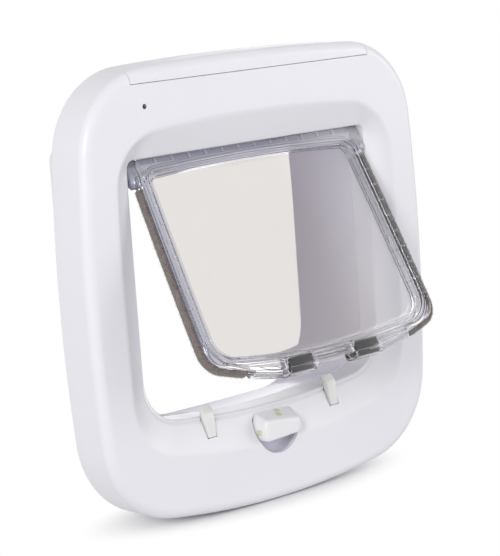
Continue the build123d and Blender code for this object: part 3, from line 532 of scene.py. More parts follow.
def block_painted_highlight(name, colour, edge):
    """Dark sintered block, finely speckled, with a painted highlight: a bright line along its edges by its
    own attribute.
    """
    made = Finish(name, colour, 0.42)
    speckled = made.clouded(colour, 1500, 0.72, 2.0)
    # painted highlight: the edge colour where the attribute marks the bevels
    made.link("Base Color", made.mixed(made.attribute("painted_edge_highlight"), speckled, edge))
    made.bump(made.noise(1500, 2.0), 0.02 * MM)
    return made.set(Metallic=0.3).material


def pile_fibre(name, light, dark):
    """Draught-seal pile: fibres of mixed tone in patches, dull."""
    made = Finish(name, light, 0.85)
    speck = made.spread(made.noise(1900, 1.0), 0.0, 1.0)
    patch = made.spread(made.noise(240, 2.0), 0.0, 0.35)
    made.link("Base Color", made.mixed(speck, made.mixed(patch, light, dark), dark))
    return made.set(Sheen_Weight=0.3, Sheen_Roughness=0.5).material


def marked_knob(name, colour, mark):
    """Satin white grip with pale olive marks: two squares in a step on its top and one on its left end.

    Each mark is a product of ramps in the piece's own place, so that it stays on its side of the grip.
    """
    made = Finish(name, colour, 0.3)
    soft_edge = 0.1 * MM

    def inside(*spans):
        """One where X, Y and Z in millimetres each lie between two values, and nothing outside."""
        share = 1.0
        for place, (low, high) in zip(made.axes(), spans):
            middle, half = (low + high) / 2 * MM, (high - low) / 2 * MM
            off = made.maths("ABSOLUTE", made.maths("SUBTRACT", place, middle))
            within = made.ramp(off, half - soft_edge, half + soft_edge, 1.0, 0.0)
            share = made.maths("MULTIPLY", share, within)
        return share

    upper_side = (KNOB[2] + 2, KNOB[2] + 12)
    marks = inside((0.4, 3.8), (-22.6, -19.9), upper_side)
    marks = made.maths("MAXIMUM", marks, inside((-1.2, 2.2), (-26.0, -23.2), upper_side))
    left_end = inside((-15.5, -11.6), (-26.4, -22.9), (KNOB[2] - 3.2, KNOB[2] - 0.3))
    wear_and_painted_shade = made.spread(made.noise(700), 0.75, 1.0)
    share = made.maths("MULTIPLY", made.maths("MAXIMUM", marks, left_end), wear_and_painted_shade)
    made.link("Base Color", made.mixed(share, made.clouded(colour, 40, 0.98), mark))
    made.bump(made.noise(2600, 2.0), 0.02 * MM)
    return made.material


# the inside colour is painted light, paler on the shaded ramp and collar
white_shell = moulded("white shell", (0.81, 0.81, 0.835), 0.35, inside=(0.97, 0.96, 0.995))
white_lid = moulded("white lid", (0.81, 0.81, 0.835), 0.35)
# the far colour is painted shade deep in the bore
white_tunnel = lining("white tunnel", (0.91, 0.895, 0.96), (0.62, 0.585, 0.70), (0.81, 0.81, 0.835))
# painted shade: the knob's pocket, part of the white frame, greyed as if in shadow
cup_painted_shade = moulded("knob cup painted shade", (0.60, 0.58, 0.665), 0.36)
# painted light: the tint thins to the right; the bar colour is painted shade in the bars
clear_flap = clear_tinted("clear flap", (0.785, 0.755, 0.732), (0.92, 0.913, 0.925), (0.36, 0.365, 0.45))
brown_pile = pile_fibre("brown pile", (0.30, 0.262, 0.243), (0.125, 0.105, 0.098))
# the edge colour is a painted highlight along the magnet's bevels
dark_magnet = block_painted_highlight("dark magnet", (0.085, 0.085, 0.09), (0.75, 0.75, 0.78))
milky_finger = milky("milky finger", (0.90, 0.90, 0.87))
white_knob = marked_knob("white knob", (0.84, 0.84, 0.845), (0.60, 0.60, 0.40))
smoke_lens = moulded("smoke lens", (0.045, 0.045, 0.05), 0.12, 0.2)
bright_steel = metal("bright steel", (0.62, 0.62, 0.63), 0.38, (6, 1, 1))
cell_film = moulded("cell film", (0.05, 0.06, 0.08), 0.34, 0.25)
grey_tray = moulded("grey tray", (0.30, 0.30, 0.31), 0.5, 0.06, 0.05 * MM)
green_board = moulded("green board", (0.03, 0.13, 0.06), 0.36, 0.2, 0.04 * MM)
copper_coil = metal("copper coil", (0.70, 0.36, 0.20), 0.38, (1, 12, 1), 0.3)
pale_light = moulded("pale light", (0.82, 0.78, 0.58), 0.18, 0.06)
pale_gear = moulded("pale gear", (0.66, 0.65, 0.60), 0.45, 0.05, 0.04 * MM)

slot_finish = {
    "frame_white": white_shell, "tunnel_white": white_tunnel, "flap_clear": clear_flap,
    "pile_brown": brown_pile, "magnet_grey": dark_magnet, "finger_milky": milky_finger,
    "knob_white": white_lid, "lens_smoke": smoke_lens, "steel": bright_steel, "cell_jacket": cell_film,
    "tray_grey": grey_tray, "board_green": green_board, "coil_copper": copper_coil,
    "light_white": pale_light, "gear_white": pale_gear}
for entry in frame["record"]["subparts"]:
    node_mesh = nodes[entry["node"]].data
    node_mesh.materials.clear()
    node_mesh.materials.append(slot_finish[entry["material_slot"]])


# Frame, cover, cup and tunnel

def ramp_level(share, grow=0.0):
    """The recess's sloped wall part of the way from the face to the opening."""
    face, foot = level(recess_outline(grow), FACE), level(throat_outline(grow), THROAT_Y)
    return face + share * (foot - face)


def lifted(points, by):
    """A ramp level raised towards the room along the sill alone, fading out up the sides."""
    share = np.clip((BEAD_TOP - points[:, 2]) / BEAD_FADE, 0, 1)
    return points - np.column_stack([np.zeros_like(share), by * share, np.zeros_like(share)])


def outer_skin():
    """Levels from the back edge up the side, round the front edge by a quarter circle and on to the face."""
    start = FACE + EDGE_ROUND
    back_edge = ((0.6, 0.0), (0.17, -0.17), (0.0, -0.6), (0.0, -1.2))
    back = [level(frame_outline(inset), y) for inset, y in back_edge]
    side = [level(frame_outline(0), y) for y in np.linspace(-4, start + 0.4, 6)]
    rounding = [level(frame_outline(EDGE_ROUND - EDGE_ROUND * math.cos(a)), start - EDGE_ROUND * math.sin(a))
                for a in np.linspace(0, np.pi / 2, 12)]
    return back + side + rounding


def frame_surface():
    """The shell as one closed tube: outside, face, ramp, collar, then back along the inside of the walls."""
    levels = outer_skin()
    levels += [level(frame_outline(5.5), FACE)] + [level(recess_outline(by), FACE) for by in (4.0, 2.2)]
    levels += bend(level(recess_outline(1.4), FACE), ramp_level(0.0), ramp_level(0.11), 9)
    levels += [ramp_level(share) for share in (0.16, 0.35, 0.55, 0.75, 0.81)]
    groove = ((0.84, 0.0), (0.865, -0.35), (0.885, -0.5), (0.905, -0.35))
    bead = ((0.92, 0.1), (0.93, 0.35), (0.945, 0.45))
    levels += [lifted(ramp_level(share), lift) for share, lift in groove + bead]
    levels += bend(lifted(ramp_level(0.955), 0.45), lifted(ramp_level(1.0), 0.4),
                   level(throat_outline(0), THROAT_Y + 0.8), 6)
    levels += [level(throat_outline(0), y) for y in (THROAT_Y + 1.2, -12.0, COLLAR_END - 0.5)]
    levels += [level(throat_outline(0.4), COLLAR_END), level(throat_outline(WALL), COLLAR_END)]
    levels += [level(throat_outline(WALL), THROAT_Y), ramp_level(WALL / RAMP_DEPTH, WALL)]
    levels += [level(frame_outline(WALL), FACE + WALL), level(frame_outline(WALL), 0.0)]
    return ring_surface(levels)


def cover_surface():
    """The frame's outer skin made into a closed tube of an even wall."""
    depth, bend_r = FACE + COVER_WALL, EDGE_ROUND - COVER_WALL
    outside = outer_skin()[2:] + [level(frame_outline(COVER_REACH), FACE)]
    inside = [level(frame_outline(COVER_REACH), depth), level(frame_outline(EDGE_ROUND), depth)]
    inside += [level(frame_outline(EDGE_ROUND - bend_r * math.sin(a)),
                     FACE + EDGE_ROUND - bend_r * math.cos(a)) for a in np.linspace(0.2, np.pi / 2, 6)]
    return ring_surface(outside + inside + [level(frame_outline(COVER_WALL), -0.6)])


def bay_box(gap):
    """The room of the battery cover, set in by a gap at the sides, below and behind."""
    across, depth = (-SEAM_X + gap, SEAM_X - gap), (2 * FACE, COVER_BACK - gap)
    return box_points(across, depth, (SEAM_Z + gap, 2 * HALF_HEIGHT))


def lower_edge(x, half, bottom, crowns):
    """Height of an outline's lower edge: a parabola from its middle that rises by its crown at the sides."""
    return bottom + crowns[1] * (x / (half - crowns[2])) ** 2


def ramp_depth(x, z):
    """Depth y of the lower ramp at a place: the share of the way from the recess's edge to the opening's."""
    edge = lower_edge(x, RECESS_HALF, RECESS_BOTTOM, RECESS_CROWNS)
    foot = lower_edge(x, THROAT_HALF, THROAT_BOTTOM, THROAT_CROWNS)
    return FACE + RAMP_DEPTH * np.clip((z - edge) / (foot - edge), 0, 1)


def knob_cup_surface(count=144):
    """Pocket behind the knob: a round wall and a flat floor, just under the ramp where that lies deeper."""
    angle = np.linspace(0, 2 * np.pi, count, endpoint=False)
    radii = np.array([POCKET_R + 0.05, POCKET_R + 0.05, POCKET_R + 0.02, POCKET_R - 0.4, 12, 9, 6, 3.1])
    drop = np.array([0.0, 0.5, 0.9, 1.0, 1.0, 1.0, 1.0, 1.0])
    x = radii[:, None] * np.cos(angle)
    sill = lower_edge(x, THROAT_HALF, THROAT_BOTTOM, THROAT_CROWNS)
    z = np.minimum(KNOB[2] + radii[:, None] * np.sin(angle), sill - 1.2)
    under = ramp_depth(x, z) + 0.5
    floor = np.maximum(POCKET_FLOOR, under)
    y = under + drop[:, None] * (floor - under)
    front = [np.column_stack(row) for row in zip(x, y, z)]
    back = [np.column_stack([row[:, 0], row[:, 1] + CUP_WALL, row[:, 2]]) for row in front[::-1]]
    back[-1][:, [0, 2]] = back[-2][:, [0, 2]] = np.column_stack(
        [CUP_FLANGE * x[0], np.minimum(KNOB[2] + CUP_FLANGE * (z[0] - KNOB[2]), sill[0] - 0.8)])
    return ring_surface(front + back)


def finger_slot(side):
    """Slot for one latch finger through ramp and sill: a straight-sided wedge, narrower at its foot."""
    x, foot, top = side * FINGER_X, FINGER_FOOT - FINGER_GAP, THROAT_BOTTOM / 2
    corners = np.array([(x - SLOT_FOOT_HALF, foot), (x + SLOT_FOOT_HALF, foot),
                        (x + SLOT_TOP_HALF, top), (x - SLOT_TOP_HALF, top)])
    return capped_surface([level(corners, y) for y in (2 * FACE, finger_high[1] + FINGER_GAP)])


def tunnel_levels():
    """Levels of the door's lining: first those of its bore, up to the lip's crest, then those outside."""
    def at(y, grow, inner_end=throat_outline):
        """A level part of the way from the inner end's outline to the mouth's."""
        share = (y - COLLAR_END) / (SLEEVE_END - COLLAR_END)
        near, far = inner_end(grow), mouth_outline(grow)
        return level(near + share * (far - near), y)

    half = SLEEVE_WALL / 2
    inside = [at(COLLAR_END, 0.4), at(COLLAR_END + 0.1, 0.1)]
    inside += [at(y, 0.0) for y in np.linspace(COLLAR_END + 0.4, SLEEVE_END - half, 8)]
    turn = np.linspace(0, np.pi, 7)[1:]
    lip = [at(SLEEVE_END - half + half * math.sin(a), half - half * math.cos(a)) for a in turn]
    outside = [at(y, SLEEVE_WALL, sleeve_outline) for y in (30, 18, 6, -2.0, FLANGE_BACK)]
    flange = [level(sleeve_outline(SLEEVE_FLANGE), y) for y in (FLANGE_BACK, COLLAR_END)]
    crest = len(lip) // 2
    return inside + lip[:crest], lip[crest:] + outside + flange


def collar_painted_light(mesh):
    """The shell's mesh with one on the points inside the opening, fading out up the ramp to nothing: where
    painted light makes the shell paler, lifting its shade.
    """
    x, y, z = places(mesh).T
    share = np.interp(y, (FACE + 0.8, THROAT_Y - 1.0), (0.0, 1.0))
    heights = (THROAT_BOTTOM + 6, THROAT_BOTTOM + 24, THROAT_TOP - 20, THROAT_TOP - 4)
    share *= np.interp(z, heights, (0, 1, 1, 0))
    share[np.abs(x) > RECESS_HALF] = 0
    return toned(mesh, "collar", share)


cuts = joined([
    bay_box(0), rod_points(LENS_X, LENS_Z, LENS_HOLE_R, (2 * FACE, FACE + 4), 48),
    finger_slot(-1), finger_slot(1), rod_points(0, KNOB[2], POCKET_R, (2 * FACE, POCKET_FLOOR), 144)])
shell_mesh = collar_painted_light(carved(mesh_of("frame_shell", *frame_surface()), cuts, "DIFFERENCE"))
piece("frame_shell", shell_mesh, "housing", white_shell, ["front_frame"])
# the pocket's grey is painted shade
piece("knob_cup", mesh_of("knob_cup", *knob_cup_surface()), "housing", cup_painted_shade)
lid_mesh = carved(mesh_of("battery_lid_skin", *cover_surface()), bay_box(SEAM_GAP), "INTERSECT")
piece("battery_lid_skin", lid_mesh, "battery_lid", white_lid, ["battery_cover"])
bore, skin = tunnel_levels()
in_bore = np.repeat([1.0, 0.0], [sum(map(len, bore)), sum(map(len, skin))])
tunnel_mesh = toned(mesh_of("tunnel_lining", *ring_surface(bore + skin)), "bore", in_bore)
piece("tunnel_lining", tunnel_mesh, "housing", white_tunnel, ["tunnel_sleeve"])


def coil_surface():
    """Aerial coil: a strip carried round the opening behind the collar, with a ridge for each row of wire."""
    shares = np.linspace(0, 1, COIL_ROWS)
    ridge = COIL_RIDGE * (np.arange(COIL_ROWS) % 2)
    low, high = coil_low[1], coil_high[1]
    outside = [level(throat_outline(COIL_OUTSIDE + r), low + t * (high - low)) for t, r in zip(shares, ridge)]
    inside = [level(throat_outline(COIL_INSIDE), y) for y in (high, low)]
    return ring_surface(outside + inside)


piece("coil_winding", mesh_of("coil_winding", *coil_surface()), "housing", copper_coil,
      ["reader_coil"])


# Indicator: a small domed pin with a collar behind the face
lens_profile = ((0.4, -25.22), (0.8, -25.1), (1.05, -24.7), (1.1, -22.9),
                (2.0, -22.8), (2.0, -20.8), (1.1, -20.7), (1.1, -10.2))
lens_mesh = mesh_of("indicator_dome", *turned_surface(LENS_X, LENS_Z, lens_profile, 40))
piece("indicator_dome", lens_mesh, "housing", smoke_lens, ["indicator_lens"])


# Flap

def slim(z):
    """Share of the flap's thickness that is left at a height: full below the hinge bar, less at the axis."""
    return np.interp(z, (-10.0, -5.0, -0.5), (1.0, 0.70, 0.62))


def hung(points):
    """Flap points, given as it hangs about its axis, slimmed at the hinge and turned to the rest angle."""
    c, s = math.cos(FLAP_TURN), math.sin(FLAP_TURN)
    x, y, z = points.T
    y = y * slim(z)
    return HINGE + np.column_stack([x, c * y + s * z, -s * y + c * z])


def flap_surface():
    """Clear flap as one closed surface: pane, ledge, step up to the bar, rounded edge, the same behind."""
    def step(*corners):
        """A bend past three places, each given by the growth of the pane's outline and a depth."""
        return bend(*(level(pane_outline(by), -depth) for by, depth in corners), 4)

    centre = np.array([0.0, (PANE_TOP + PANE_BOTTOM) / 2])
    rim = pane_outline(-0.6)
    front = [level(centre + share * (rim - centre), -PANE_DEPTH) for share in (0.02, 0.35, 0.7, 0.95)]
    front += step((-0.6, PANE_DEPTH), (0, PANE_DEPTH), (0, PANE_DEPTH + 0.5))
    front += step((0, LEDGE_DEPTH - 0.5), (0.05, LEDGE_DEPTH), (0.6, LEDGE_DEPTH))
    front += step((1.9, LEDGE_DEPTH), (2.3, LEDGE_DEPTH), (2.35, LEDGE_DEPTH + 0.4))
    front += step((2.35, BAR_HALF - 0.5), (2.4, BAR_HALF), (2.9, BAR_HALF))
    grooves = ((3.3, 0.0), (3.5, 0.4), (3.8, 0.4), (4.0, 0.0), (4.5, 0.0), (4.7, 0.4), (5.0, 0.4), (5.2, 0.0))
    front += [level(pane_outline(by), -BAR_HALF + sunk) for by, sunk in grooves]
    front += [level(flap_outline(BAR_ROUND * (math.sin(a) - 1)), -BAR_HALF + BAR_ROUND * (1 - math.cos(a)))
              for a in np.linspace(0, np.pi / 2, 7)]
    back = [row * [1, -1, 1] for row in front[::-1]]
    points, quads = capped_surface(front + back)
    return hung(points), quads


def slot_parts():
    """Row of shallow slots along the top bar, front and back."""
    depths, heights = ((-5.0, -3.35), (3.35, 5.0)), (-2.0, 0.6)
    parts = []
    for i in range(SLOT_COUNT):
        x = (i - SLOT_COUNT // 2) * SLOT_PITCH
        parts += [box_points((x - SLOT_HALF, x + SLOT_HALF), y, heights) for y in depths]
    return parts


def rib_parts():
    """Small ribs across the side bars, front and back, evenly spaced."""
    depths = ((-4.3, -3.9), (3.9, 4.3))
    parts = []
    for i in range(RIB_COUNT):
        z = PILE_TOP - RIB_PITCH * (i + 0.5)
        edge = FLAP_HALF - FLARE * (z + FLARE_AT)
        for side in (-1, 1):
            x = sorted((side * (edge - 4.2), side * (edge - 1.6)))
            parts += [box_points(x, y, (z - RIB_HALF, z + RIB_HALF)) for y in depths]
    return parts


def knuckle_surface(side, count=40):
    """Hinge ear: a squared oval about the axis, longer down the flap, carried across with eased ends."""
    angle = np.linspace(0, 2 * np.pi, count, endpoint=False)
    square = [np.sign(wave) * np.abs(wave) ** EAR_SQUARENESS for wave in (np.cos(angle), np.sin(angle))]
    across = EAR_HALF * square[0]
    up = np.where(square[1] > 0, EAR_UP, EAR_DOWN) * square[1]
    ends = ((FLAP_HALF - 5.0, 0.9), (FLAP_HALF - 4.4, 1.0), (THROAT_HALF - 2.2, 1.0),
            (THROAT_HALF - 1.4, 0.92), (THROAT_HALF - 1.1, 0.78))
    rows = [np.column_stack([np.full(count, side * x), ease * across, ease * up]) for x, ease in ends]
    return capped_surface(rows)


def eased(corners, ease):
    """A closed outline with each corner replaced by a short parabola."""
    before, after = np.roll(corners, 1, 0), np.roll(corners, -1, 0)
    start = corners + ease * (before - corners) / np.hypot(*(before - corners).T)[:, None]
    end = corners + ease * (after - corners) / np.hypot(*(after - corners).T)[:, None]
    t = np.linspace(0, 1, EASE_POINTS)[None, :, None]
    curves = (1 - t) ** 2 * start[:, None] + 2 * t * (1 - t) * corners[:, None] + t ** 2 * end[:, None]
    return curves.reshape(-1, 2)


def housing_surface(side, wall, half):
    """Shape round one magnet at a wall's distance: a six-cornered section carried across, ends drawn in."""
    y, low, high = MAGNET_DEPTH + wall, MAGNET_LOW - wall, MAGNET_HIGH + wall
    b = MAGNET_BEVEL
    corners = np.array([(-y, high), (-y, low + b), (-y + b, low), (y - b, low), (y, low + b), (y, high)])
    outline = eased(corners, 0.5)
    middle = np.array([0.0, (low + high) / 2])
    ends = ((-half, 0.90), (-half + 0.15, 0.97), (-half + 0.6, 1.0),
            (half - 0.6, 1.0), (half - 0.15, 0.97), (half, 0.90))
    rows = []
    for x, share in ends:
        drawn = middle + share * (outline - middle)
        rows.append(np.column_stack([np.full(len(drawn), side * MAGNET_X + x), drawn]))
    return capped_surface(rows)


def swept(place, out, section, scale):
    """A section of outward and depth distances, scaled and carried along (x, z) places and their ways out."""
    scaled = scale[:, None, None] * section
    xz = place[:, None] + scaled[..., :1] * out[:, None]
    return capped_surface(list(np.stack([xz[..., 0], scaled[..., 1], xz[..., 1]], -1)))


def skirt_surface(side):
    """Clear strip level with the pile, from a housing to its end: a rounded section along the lower edge."""
    x = np.linspace(MAGNET_X + MAGNET_HALF, PILE_END + 1.0, 24)
    z = lower_edge(x, FLAP_HALF, FLAP_BOTTOM, FLAP_CROWNS)
    slope = 2 * FLAP_CROWNS[1] * x / (FLAP_HALF - FLAP_CROWNS[2]) ** 2
    out = np.column_stack([side * slope, -np.ones_like(slope)]) / np.hypot(1, slope)[:, None]
    section = eased(np.array([(-2.6, -3.0), (2.4, -3.0), (2.4, 3.0), (-2.6, 3.0)]), 0.6)
    drawn = np.interp(x, (PILE_END - 2.0, PILE_END + 1.0), (1.0, 0.45))
    return swept(np.column_stack([side * x, z]), out, section, drawn)


def bar_painted_shade(mesh):
    """The flap's mesh with a tone and a haze on its points: none on the pane, deep on the bars' steps. The
    tone is a deeper tint with painted shade, darkest at the steps and lighter along the lower bar.
    """
    x, y, z = (places(mesh) - HINGE).T
    c, s = math.cos(FLAP_TURN), math.sin(FLAP_TURN)
    height = s * y + c * z
    depth = np.abs(c * y - s * z) / slim(height)
    depths = (1.35, 1.6, 2.0, 2.5, 2.7, 2.9, 3.3, 3.7, 4.1)
    tone = np.interp(depth, depths, (0.0, 0.8, 1.3, 0.9, 0.7, 0.9, 1.3, 0.9, 0.7))
    tone *= np.interp(height, (PANE_BOTTOM, PANE_BOTTOM + 8), (0.45, 1.0))
    ear = (np.abs(x) > FLAP_HALF - FLARE * (height + FLARE_AT) + 0.2) & (height > -14)
    top = np.interp(height, (-7.4, -5.9), (0.0, 1.0))
    tone = np.where((top > 0.5) & (depth > 3.7), 0.62, tone)
    rib = (depth > 4.05) & (height < PILE_TOP) & (height > PANE_BOTTOM)
    tone = np.where(rib, 0.0, tone)
    toned(mesh, "bar_tint_and_shade", np.clip(np.maximum(tone, ear), 0, 1))
    return toned(mesh, "bar_haze", np.maximum(np.maximum(top, ear), 0.3 * rib))


def hung_surface(parts):
    """Several flap surfaces joined and turned to the rest angle."""
    points, quads = joined(parts)
    return hung(points), quads


notch_x = MAGNET_X - MAGNET_HALF - HOUSING_WALL
notch = box_points((-notch_x, notch_x), (-NOTCH_DEPTH, NOTCH_DEPTH),
                   (2 * FLAP_BOTTOM, FLAP_BOTTOM + NOTCH_RISE))
housings = [housing_surface(side, HOUSING_WALL, MAGNET_HALF + HOUSING_WALL) for side in (-1, 1)]
housings += [knuckle_surface(side) for side in (-1, 1)] + rib_parts()
skirts = [skirt_surface(side) for side in (-1, 1)]
pockets = [housing_surface(side, POCKET_GAP, MAGNET_HALF - 1.0) for side in (-1, 1)]
flap_mesh = mesh_of("flap_clear_moulding", *flap_surface())
flap_mesh = carved(flap_mesh, hung_surface([notch] + slot_parts()), "DIFFERENCE")
flap_mesh = carved(carved(flap_mesh, hung_surface(housings), "UNION"), hung_surface(skirts), "UNION")
flap_mesh = bar_painted_shade(carved(flap_mesh, hung_surface(pockets), "DIFFERENCE"))
piece("flap_clear_moulding", flap_mesh, "flap", clear_flap, ["flap_panel"])


def magnet_mesh(name, side):
    """One magnet: the housing's shape made smaller, with the middle of each eased corner marked bright as a
    painted highlight.
    """
    points, quads = housing_surface(side, -0.15, MAGNET_HALF - 1.2)
    line = np.tile((0.0, 0.4, 1.0, 0.4, 0.0), len(points) // EASE_POINTS + 1)[:len(points)]
    line[-2:] = 0.0
    return toned(mesh_of(name, hung(points), quads), "painted_edge_highlight", line)


for side, word in SIDES:
    piece(f"magnet_{word}", magnet_mesh(f"magnet_{word}", side), "flap", dark_magnet,
          [f"flap_magnet_{word}"])


def pile_path(side, count):
    """Places evenly along the flap's edge, from below the hinge to the lower bar, and their ways outwards."""
    outline = flap_outline(0)
    outline = outline[np.sign(outline[:, 0]) == side]
    keep = (outline[:, 1] < PILE_TOP) & (np.abs(outline[:, 0]) > PILE_END)
    run = outline[keep]
    run = run[np.argsort(np.arctan2(run[:, 1] - PILE_MIDDLE, np.abs(run[:, 0])))[::-1]]
    steps = np.concatenate([[0], np.cumsum(np.hypot(*np.diff(run, axis=0).T))])
    at = np.linspace(0, steps[-1], count)
    x, z = np.interp(at, steps, run[:, 0]), np.interp(at, steps, run[:, 1])
    place = np.column_stack([x, z])
    along = np.gradient(place, axis=0)
    along /= np.hypot(*along.T)[:, None]
    out = np.column_stack([along[:, 1], -along[:, 0]])
    out *= np.sign((out * (place - [0, PILE_MIDDLE])).sum(1))[:, None]
    return place, out


def pile_backing(side):
    """Root strip of the pile: a rounded section carried along the flap's edge."""
    place, out = pile_path(side, 120)
    section = np.array([(-0.15, -1.9), (1.8, -1.9), (2.3, -1.4), (2.5, 0.0),
                        (2.3, 1.4), (1.8, 1.9), (-0.15, 1.9)])
    points, quads = swept(place, out, section, np.ones(len(place)))
    return hung(points), quads


def pile_fibres(side, count=6400):
    """Fibres of the pile: slim three-sided spikes on the root strip, each with its own lean and reach."""
    place, out = pile_path(side, count)
    along = np.column_stack([-out[:, 1], out[:, 0]])
    lean = rng.normal(0, 0.06, (count, 2))
    reach = FIBRE_REACH - 0.25 * rng.random(count) ** 2
    depth = rng.uniform(-ROOT_DEPTH, ROOT_DEPTH, count)
    spread = depth * rng.uniform(0.0, 0.05, count)
    root = place + along * rng.uniform(-0.08, 0.08, count)[:, None]
    tip = root + out * reach[:, None] + along * (lean[:, :1] * 2.2)
    turn = np.linspace(0, 2 * np.pi, 3, endpoint=False) + rng.uniform(0, 2, count)[:, None]
    base_x = root[:, :1] + FIBRE_R * np.cos(turn) * along[:, :1]
    base_z = root[:, 1:] + FIBRE_R * np.cos(turn) * along[:, 1:]
    base_y = depth[:, None] + FIBRE_R * np.sin(turn)
    base = np.stack([base_x, base_y, base_z], -1)
    tip_y = np.clip(depth + spread + lean[:, 1] * 1.6, -TIP_DEPTH, TIP_DEPTH)
    top = np.column_stack([tip[:, 0], tip_y, tip[:, 1]])[:, None, :]
    points = np.concatenate([base, top], 1).reshape(-1, 3)
    start = 4 * np.arange(count)[:, None, None]
    corner = np.array([(0, 1, 3, 3), (1, 2, 3, 3), (2, 0, 3, 3), (0, 2, 1, 1)])
    return hung(points), (start + corner).reshape(-1, 4)


for side, word in SIDES:
    strip = mesh_of(f"pile_{word}", *joined([pile_backing(side), pile_fibres(side)]))
    piece(f"pile_{word}", strip, "flap", brown_pile, [f"pile_seal_{word}"])


# Latch fingers and lock knob

def finger_surface(side):
    """Latch finger: a rounded side profile carried across, drawn in at both cheeks, narrower at its foot."""
    front, back, high, low = finger_low[1], finger_high[1], finger_high[2], finger_low[2]
    corners = np.array([(front, FINGER_FOOT), (front + 2.0, high - 3.4), (back, high),
                        (back, low), (back - 2.3, low), (back - 2.3, FINGER_FOOT)])
    outline = eased(corners, 0.6)
    middle = np.array([(front + back) / 2, (FINGER_FOOT + high) / 2])
    away = (outline - middle) / np.hypot(*(outline - middle).T)[:, None]
    half = 2.3 + np.clip((outline[:, 1] - FINGER_FOOT) / (high - FINGER_FOOT), 0, 1)
    cheeks = ((-1, 0.5), (-0.96, 0.14), (-0.87, 0.0), (0.87, 0.0), (0.96, 0.14), (1, 0.5))
    return capped_surface([
        np.column_stack([side * FINGER_X + cheek * half, outline - inset * away]) for cheek, inset in cheeks])


for side, word in SIDES:
    piece(f"finger_{word}", mesh_of(f"finger_{word}", *finger_surface(side), 40), "latch", milky_finger,
          [f"latch_finger_{word}"])


def knob_surface():
    """Lock grip on a round shaft: eight eased corners drawn from its foot to a face narrower at one end."""
    def at(share, inset, y):
        """A level part of the way from the foot to the face, drawn in about its middle."""
        corners = GRIP_FOOT + share * (GRIP_FACE - GRIP_FOOT)
        middle = corners.mean(0)
        drawn = middle + (1 - inset / GRIP_REACH) * (eased(corners, KNOB_EASE) - middle)
        return level(drawn + [0, KNOB[2]], y)

    levels = [at(0.0, 0.6, KNOB_BACK), at(0.0, 0.1, KNOB_BACK - 0.2)]
    run = KNOB_FRONT - KNOB_BACK
    levels += [at(share, 0.0, KNOB_BACK + run * share) for share in (0.06, 0.3, 0.55, 0.75)]
    for a in np.linspace(0, np.pi / 2, 8):
        y = KNOB_FRONT + KNOB_ROUND * (1 - math.sin(a))
        levels.append(at((y - KNOB_BACK) / run, KNOB_ROUND * (1 - math.cos(a)), y))
    levels += [at(1.0, inset, KNOB_FRONT - 0.05) for inset in (3.0, 5.0)]
    return joined([capped_surface(levels), rod_points(0, KNOB[2], SHAFT_R, SHAFT_SPAN, 48)])


piece("knob_grip", mesh_of("knob_grip", *knob_surface(), 40), "lock", white_knob, ["lock_knob"])


# Floor, light and camera, in metres

FLOOR_HALF, FLOOR_Z = 30, -0.1134
SHADOW_SHAPE, SHADOW_FADE = (0.4, 1.0, 0.0), (0.018, 0.044)
ROOM_SIDE = (-0.62, -0.71, -0.33)
AZIMUTH, ELEVATION, ROLL = (math.radians(value) for value in (-41.13, 9.20, -4.06))
EYE = np.array([-709.86, -823.70, 173.63]) * MM
FOCAL_PIXELS, PICTURE_PIXELS, SENSOR = 2180.11, 556, 36.0


def studio_floor():
    """A wide pale floor: plain near the object, where it takes the shadow, white further off for the lens."""
    made = bpy.data.materials.new("studio floor")
    made.use_nodes = True
    graph = Graph(made.node_tree)
    graph.tree.nodes.remove(graph.tree.nodes["Principled BSDF"])
    place = graph.node("ShaderNodeTexCoord").outputs["Object"]
    squeezed = graph.node("ShaderNodeVectorMath", {0: place, 1: SHADOW_SHAPE}, operation="MULTIPLY")
    away = graph.node("ShaderNodeVectorMath", {0: squeezed.outputs["Vector"]}, operation="LENGTH")
    fade = graph.ramp(away.outputs["Value"], *SHADOW_FADE, kind="SMOOTHSTEP")
    share = graph.maths("MULTIPLY", fade, graph.seen())
    plain = graph.node("ShaderNodeBsdfDiffuse", {"Color": (0.86, 0.86, 0.87, 1)}).outputs[0]
    glow = graph.node("ShaderNodeEmission", {"Color": (1, 1, 1, 1)}).outputs[0]
    blend = graph.node("ShaderNodeMixShader", {0: share, 1: plain, 2: glow}).outputs[0]
    graph.tree.links.new(blend, graph.tree.nodes["Material Output"].inputs["Surface"])
    return made


def turned(obj, place, right, up, back):
    """Sets an object at a place with its own axes along three directions."""
    obj.matrix_world = Matrix([[right[i], up[i], back[i], place[i]] for i in range(3)] + [[0, 0, 0, 1]])


def soft_box(name, place, size, power):
    """A square lamp turned towards the middle of the object."""
    lamp = bpy.data.lights.new(name, "AREA")
    lamp.shape, lamp.size, lamp.energy = "SQUARE", size, power
    back = np.array(place) / np.linalg.norm(place)
    right = np.cross([0, 0, 1], back)
    right /= np.linalg.norm(right)
    turned(staged(name, lamp), place, right, np.cross(back, right), back)


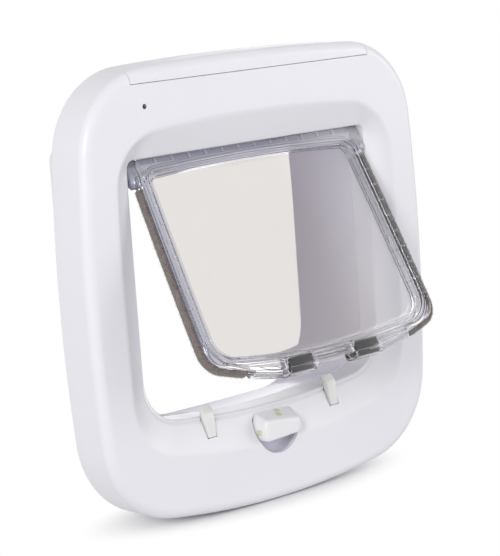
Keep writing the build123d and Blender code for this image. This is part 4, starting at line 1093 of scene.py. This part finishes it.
floor_mesh = bpy.data.meshes.new("floor")
floor_corners = [(x * FLOOR_HALF, y * FLOOR_HALF, FLOOR_Z) for x, y in ((-1, -1), (1, -1), (1, 1), (-1, 1))]
floor_mesh.from_pydata(floor_corners, [], [(0, 1, 2, 3)])
floor_mesh.materials.append(studio_floor())
floor = staged("floor", floor_mesh)

world = bpy.data.worlds.new("studio")
bpy.context.scene.world = world
world.use_nodes = True
sky = Graph(world.node_tree)
sky.tree.nodes.remove(sky.tree.nodes["Background"])
facing = sky.node("ShaderNodeTexCoord").outputs["Generated"]
towards = sky.node("ShaderNodeVectorMath", {0: facing, 1: ROOM_SIDE}, operation="DOT_PRODUCT")
strength = sky.ramp(towards.outputs["Value"], -1.0, 1.0, 0.28, 1.0)
dim = sky.node("ShaderNodeBackground", {"Color": (0.96, 0.96, 1.0, 1), "Strength": strength}).outputs[0]
white = sky.node("ShaderNodeBackground", {"Color": (1, 1, 1, 1)}).outputs[0]
blend = sky.node("ShaderNodeMixShader", {0: sky.seen(), 1: dim, 2: white}).outputs[0]
sky.tree.links.new(blend, sky.tree.nodes["World Output"].inputs["Surface"])

soft_box("left_box", (-1.6, -1.0, 0.6), 0.5, 13.5)
soft_box("front_box", (1.8, -1.2, 0.3), 1.0, 11.4)
soft_box("rear_box", (1.5, 1.6, 0.12), 0.4, 1.5)

back = np.array([math.sin(AZIMUTH) * math.cos(ELEVATION), -math.cos(AZIMUTH) * math.cos(ELEVATION),
                 math.sin(ELEVATION)])
right = np.array([math.cos(AZIMUTH), math.sin(AZIMUTH), 0.0])
up = np.cross(back, right)
right, up = math.cos(ROLL) * right + math.sin(ROLL) * up, math.cos(ROLL) * up - math.sin(ROLL) * right
lens_data = bpy.data.cameras.new("camera")
lens_data.sensor_width = SENSOR
lens_data.lens = FOCAL_PIXELS * SENSOR / PICTURE_PIXELS
lens_data.clip_start, lens_data.clip_end = 0.05, 200.0
camera = staged("camera", lens_data)
turned(camera, EYE, right, up, back)
bpy.context.scene.camera = camera
bpy.context.scene.view_settings.view_transform = "Standard"
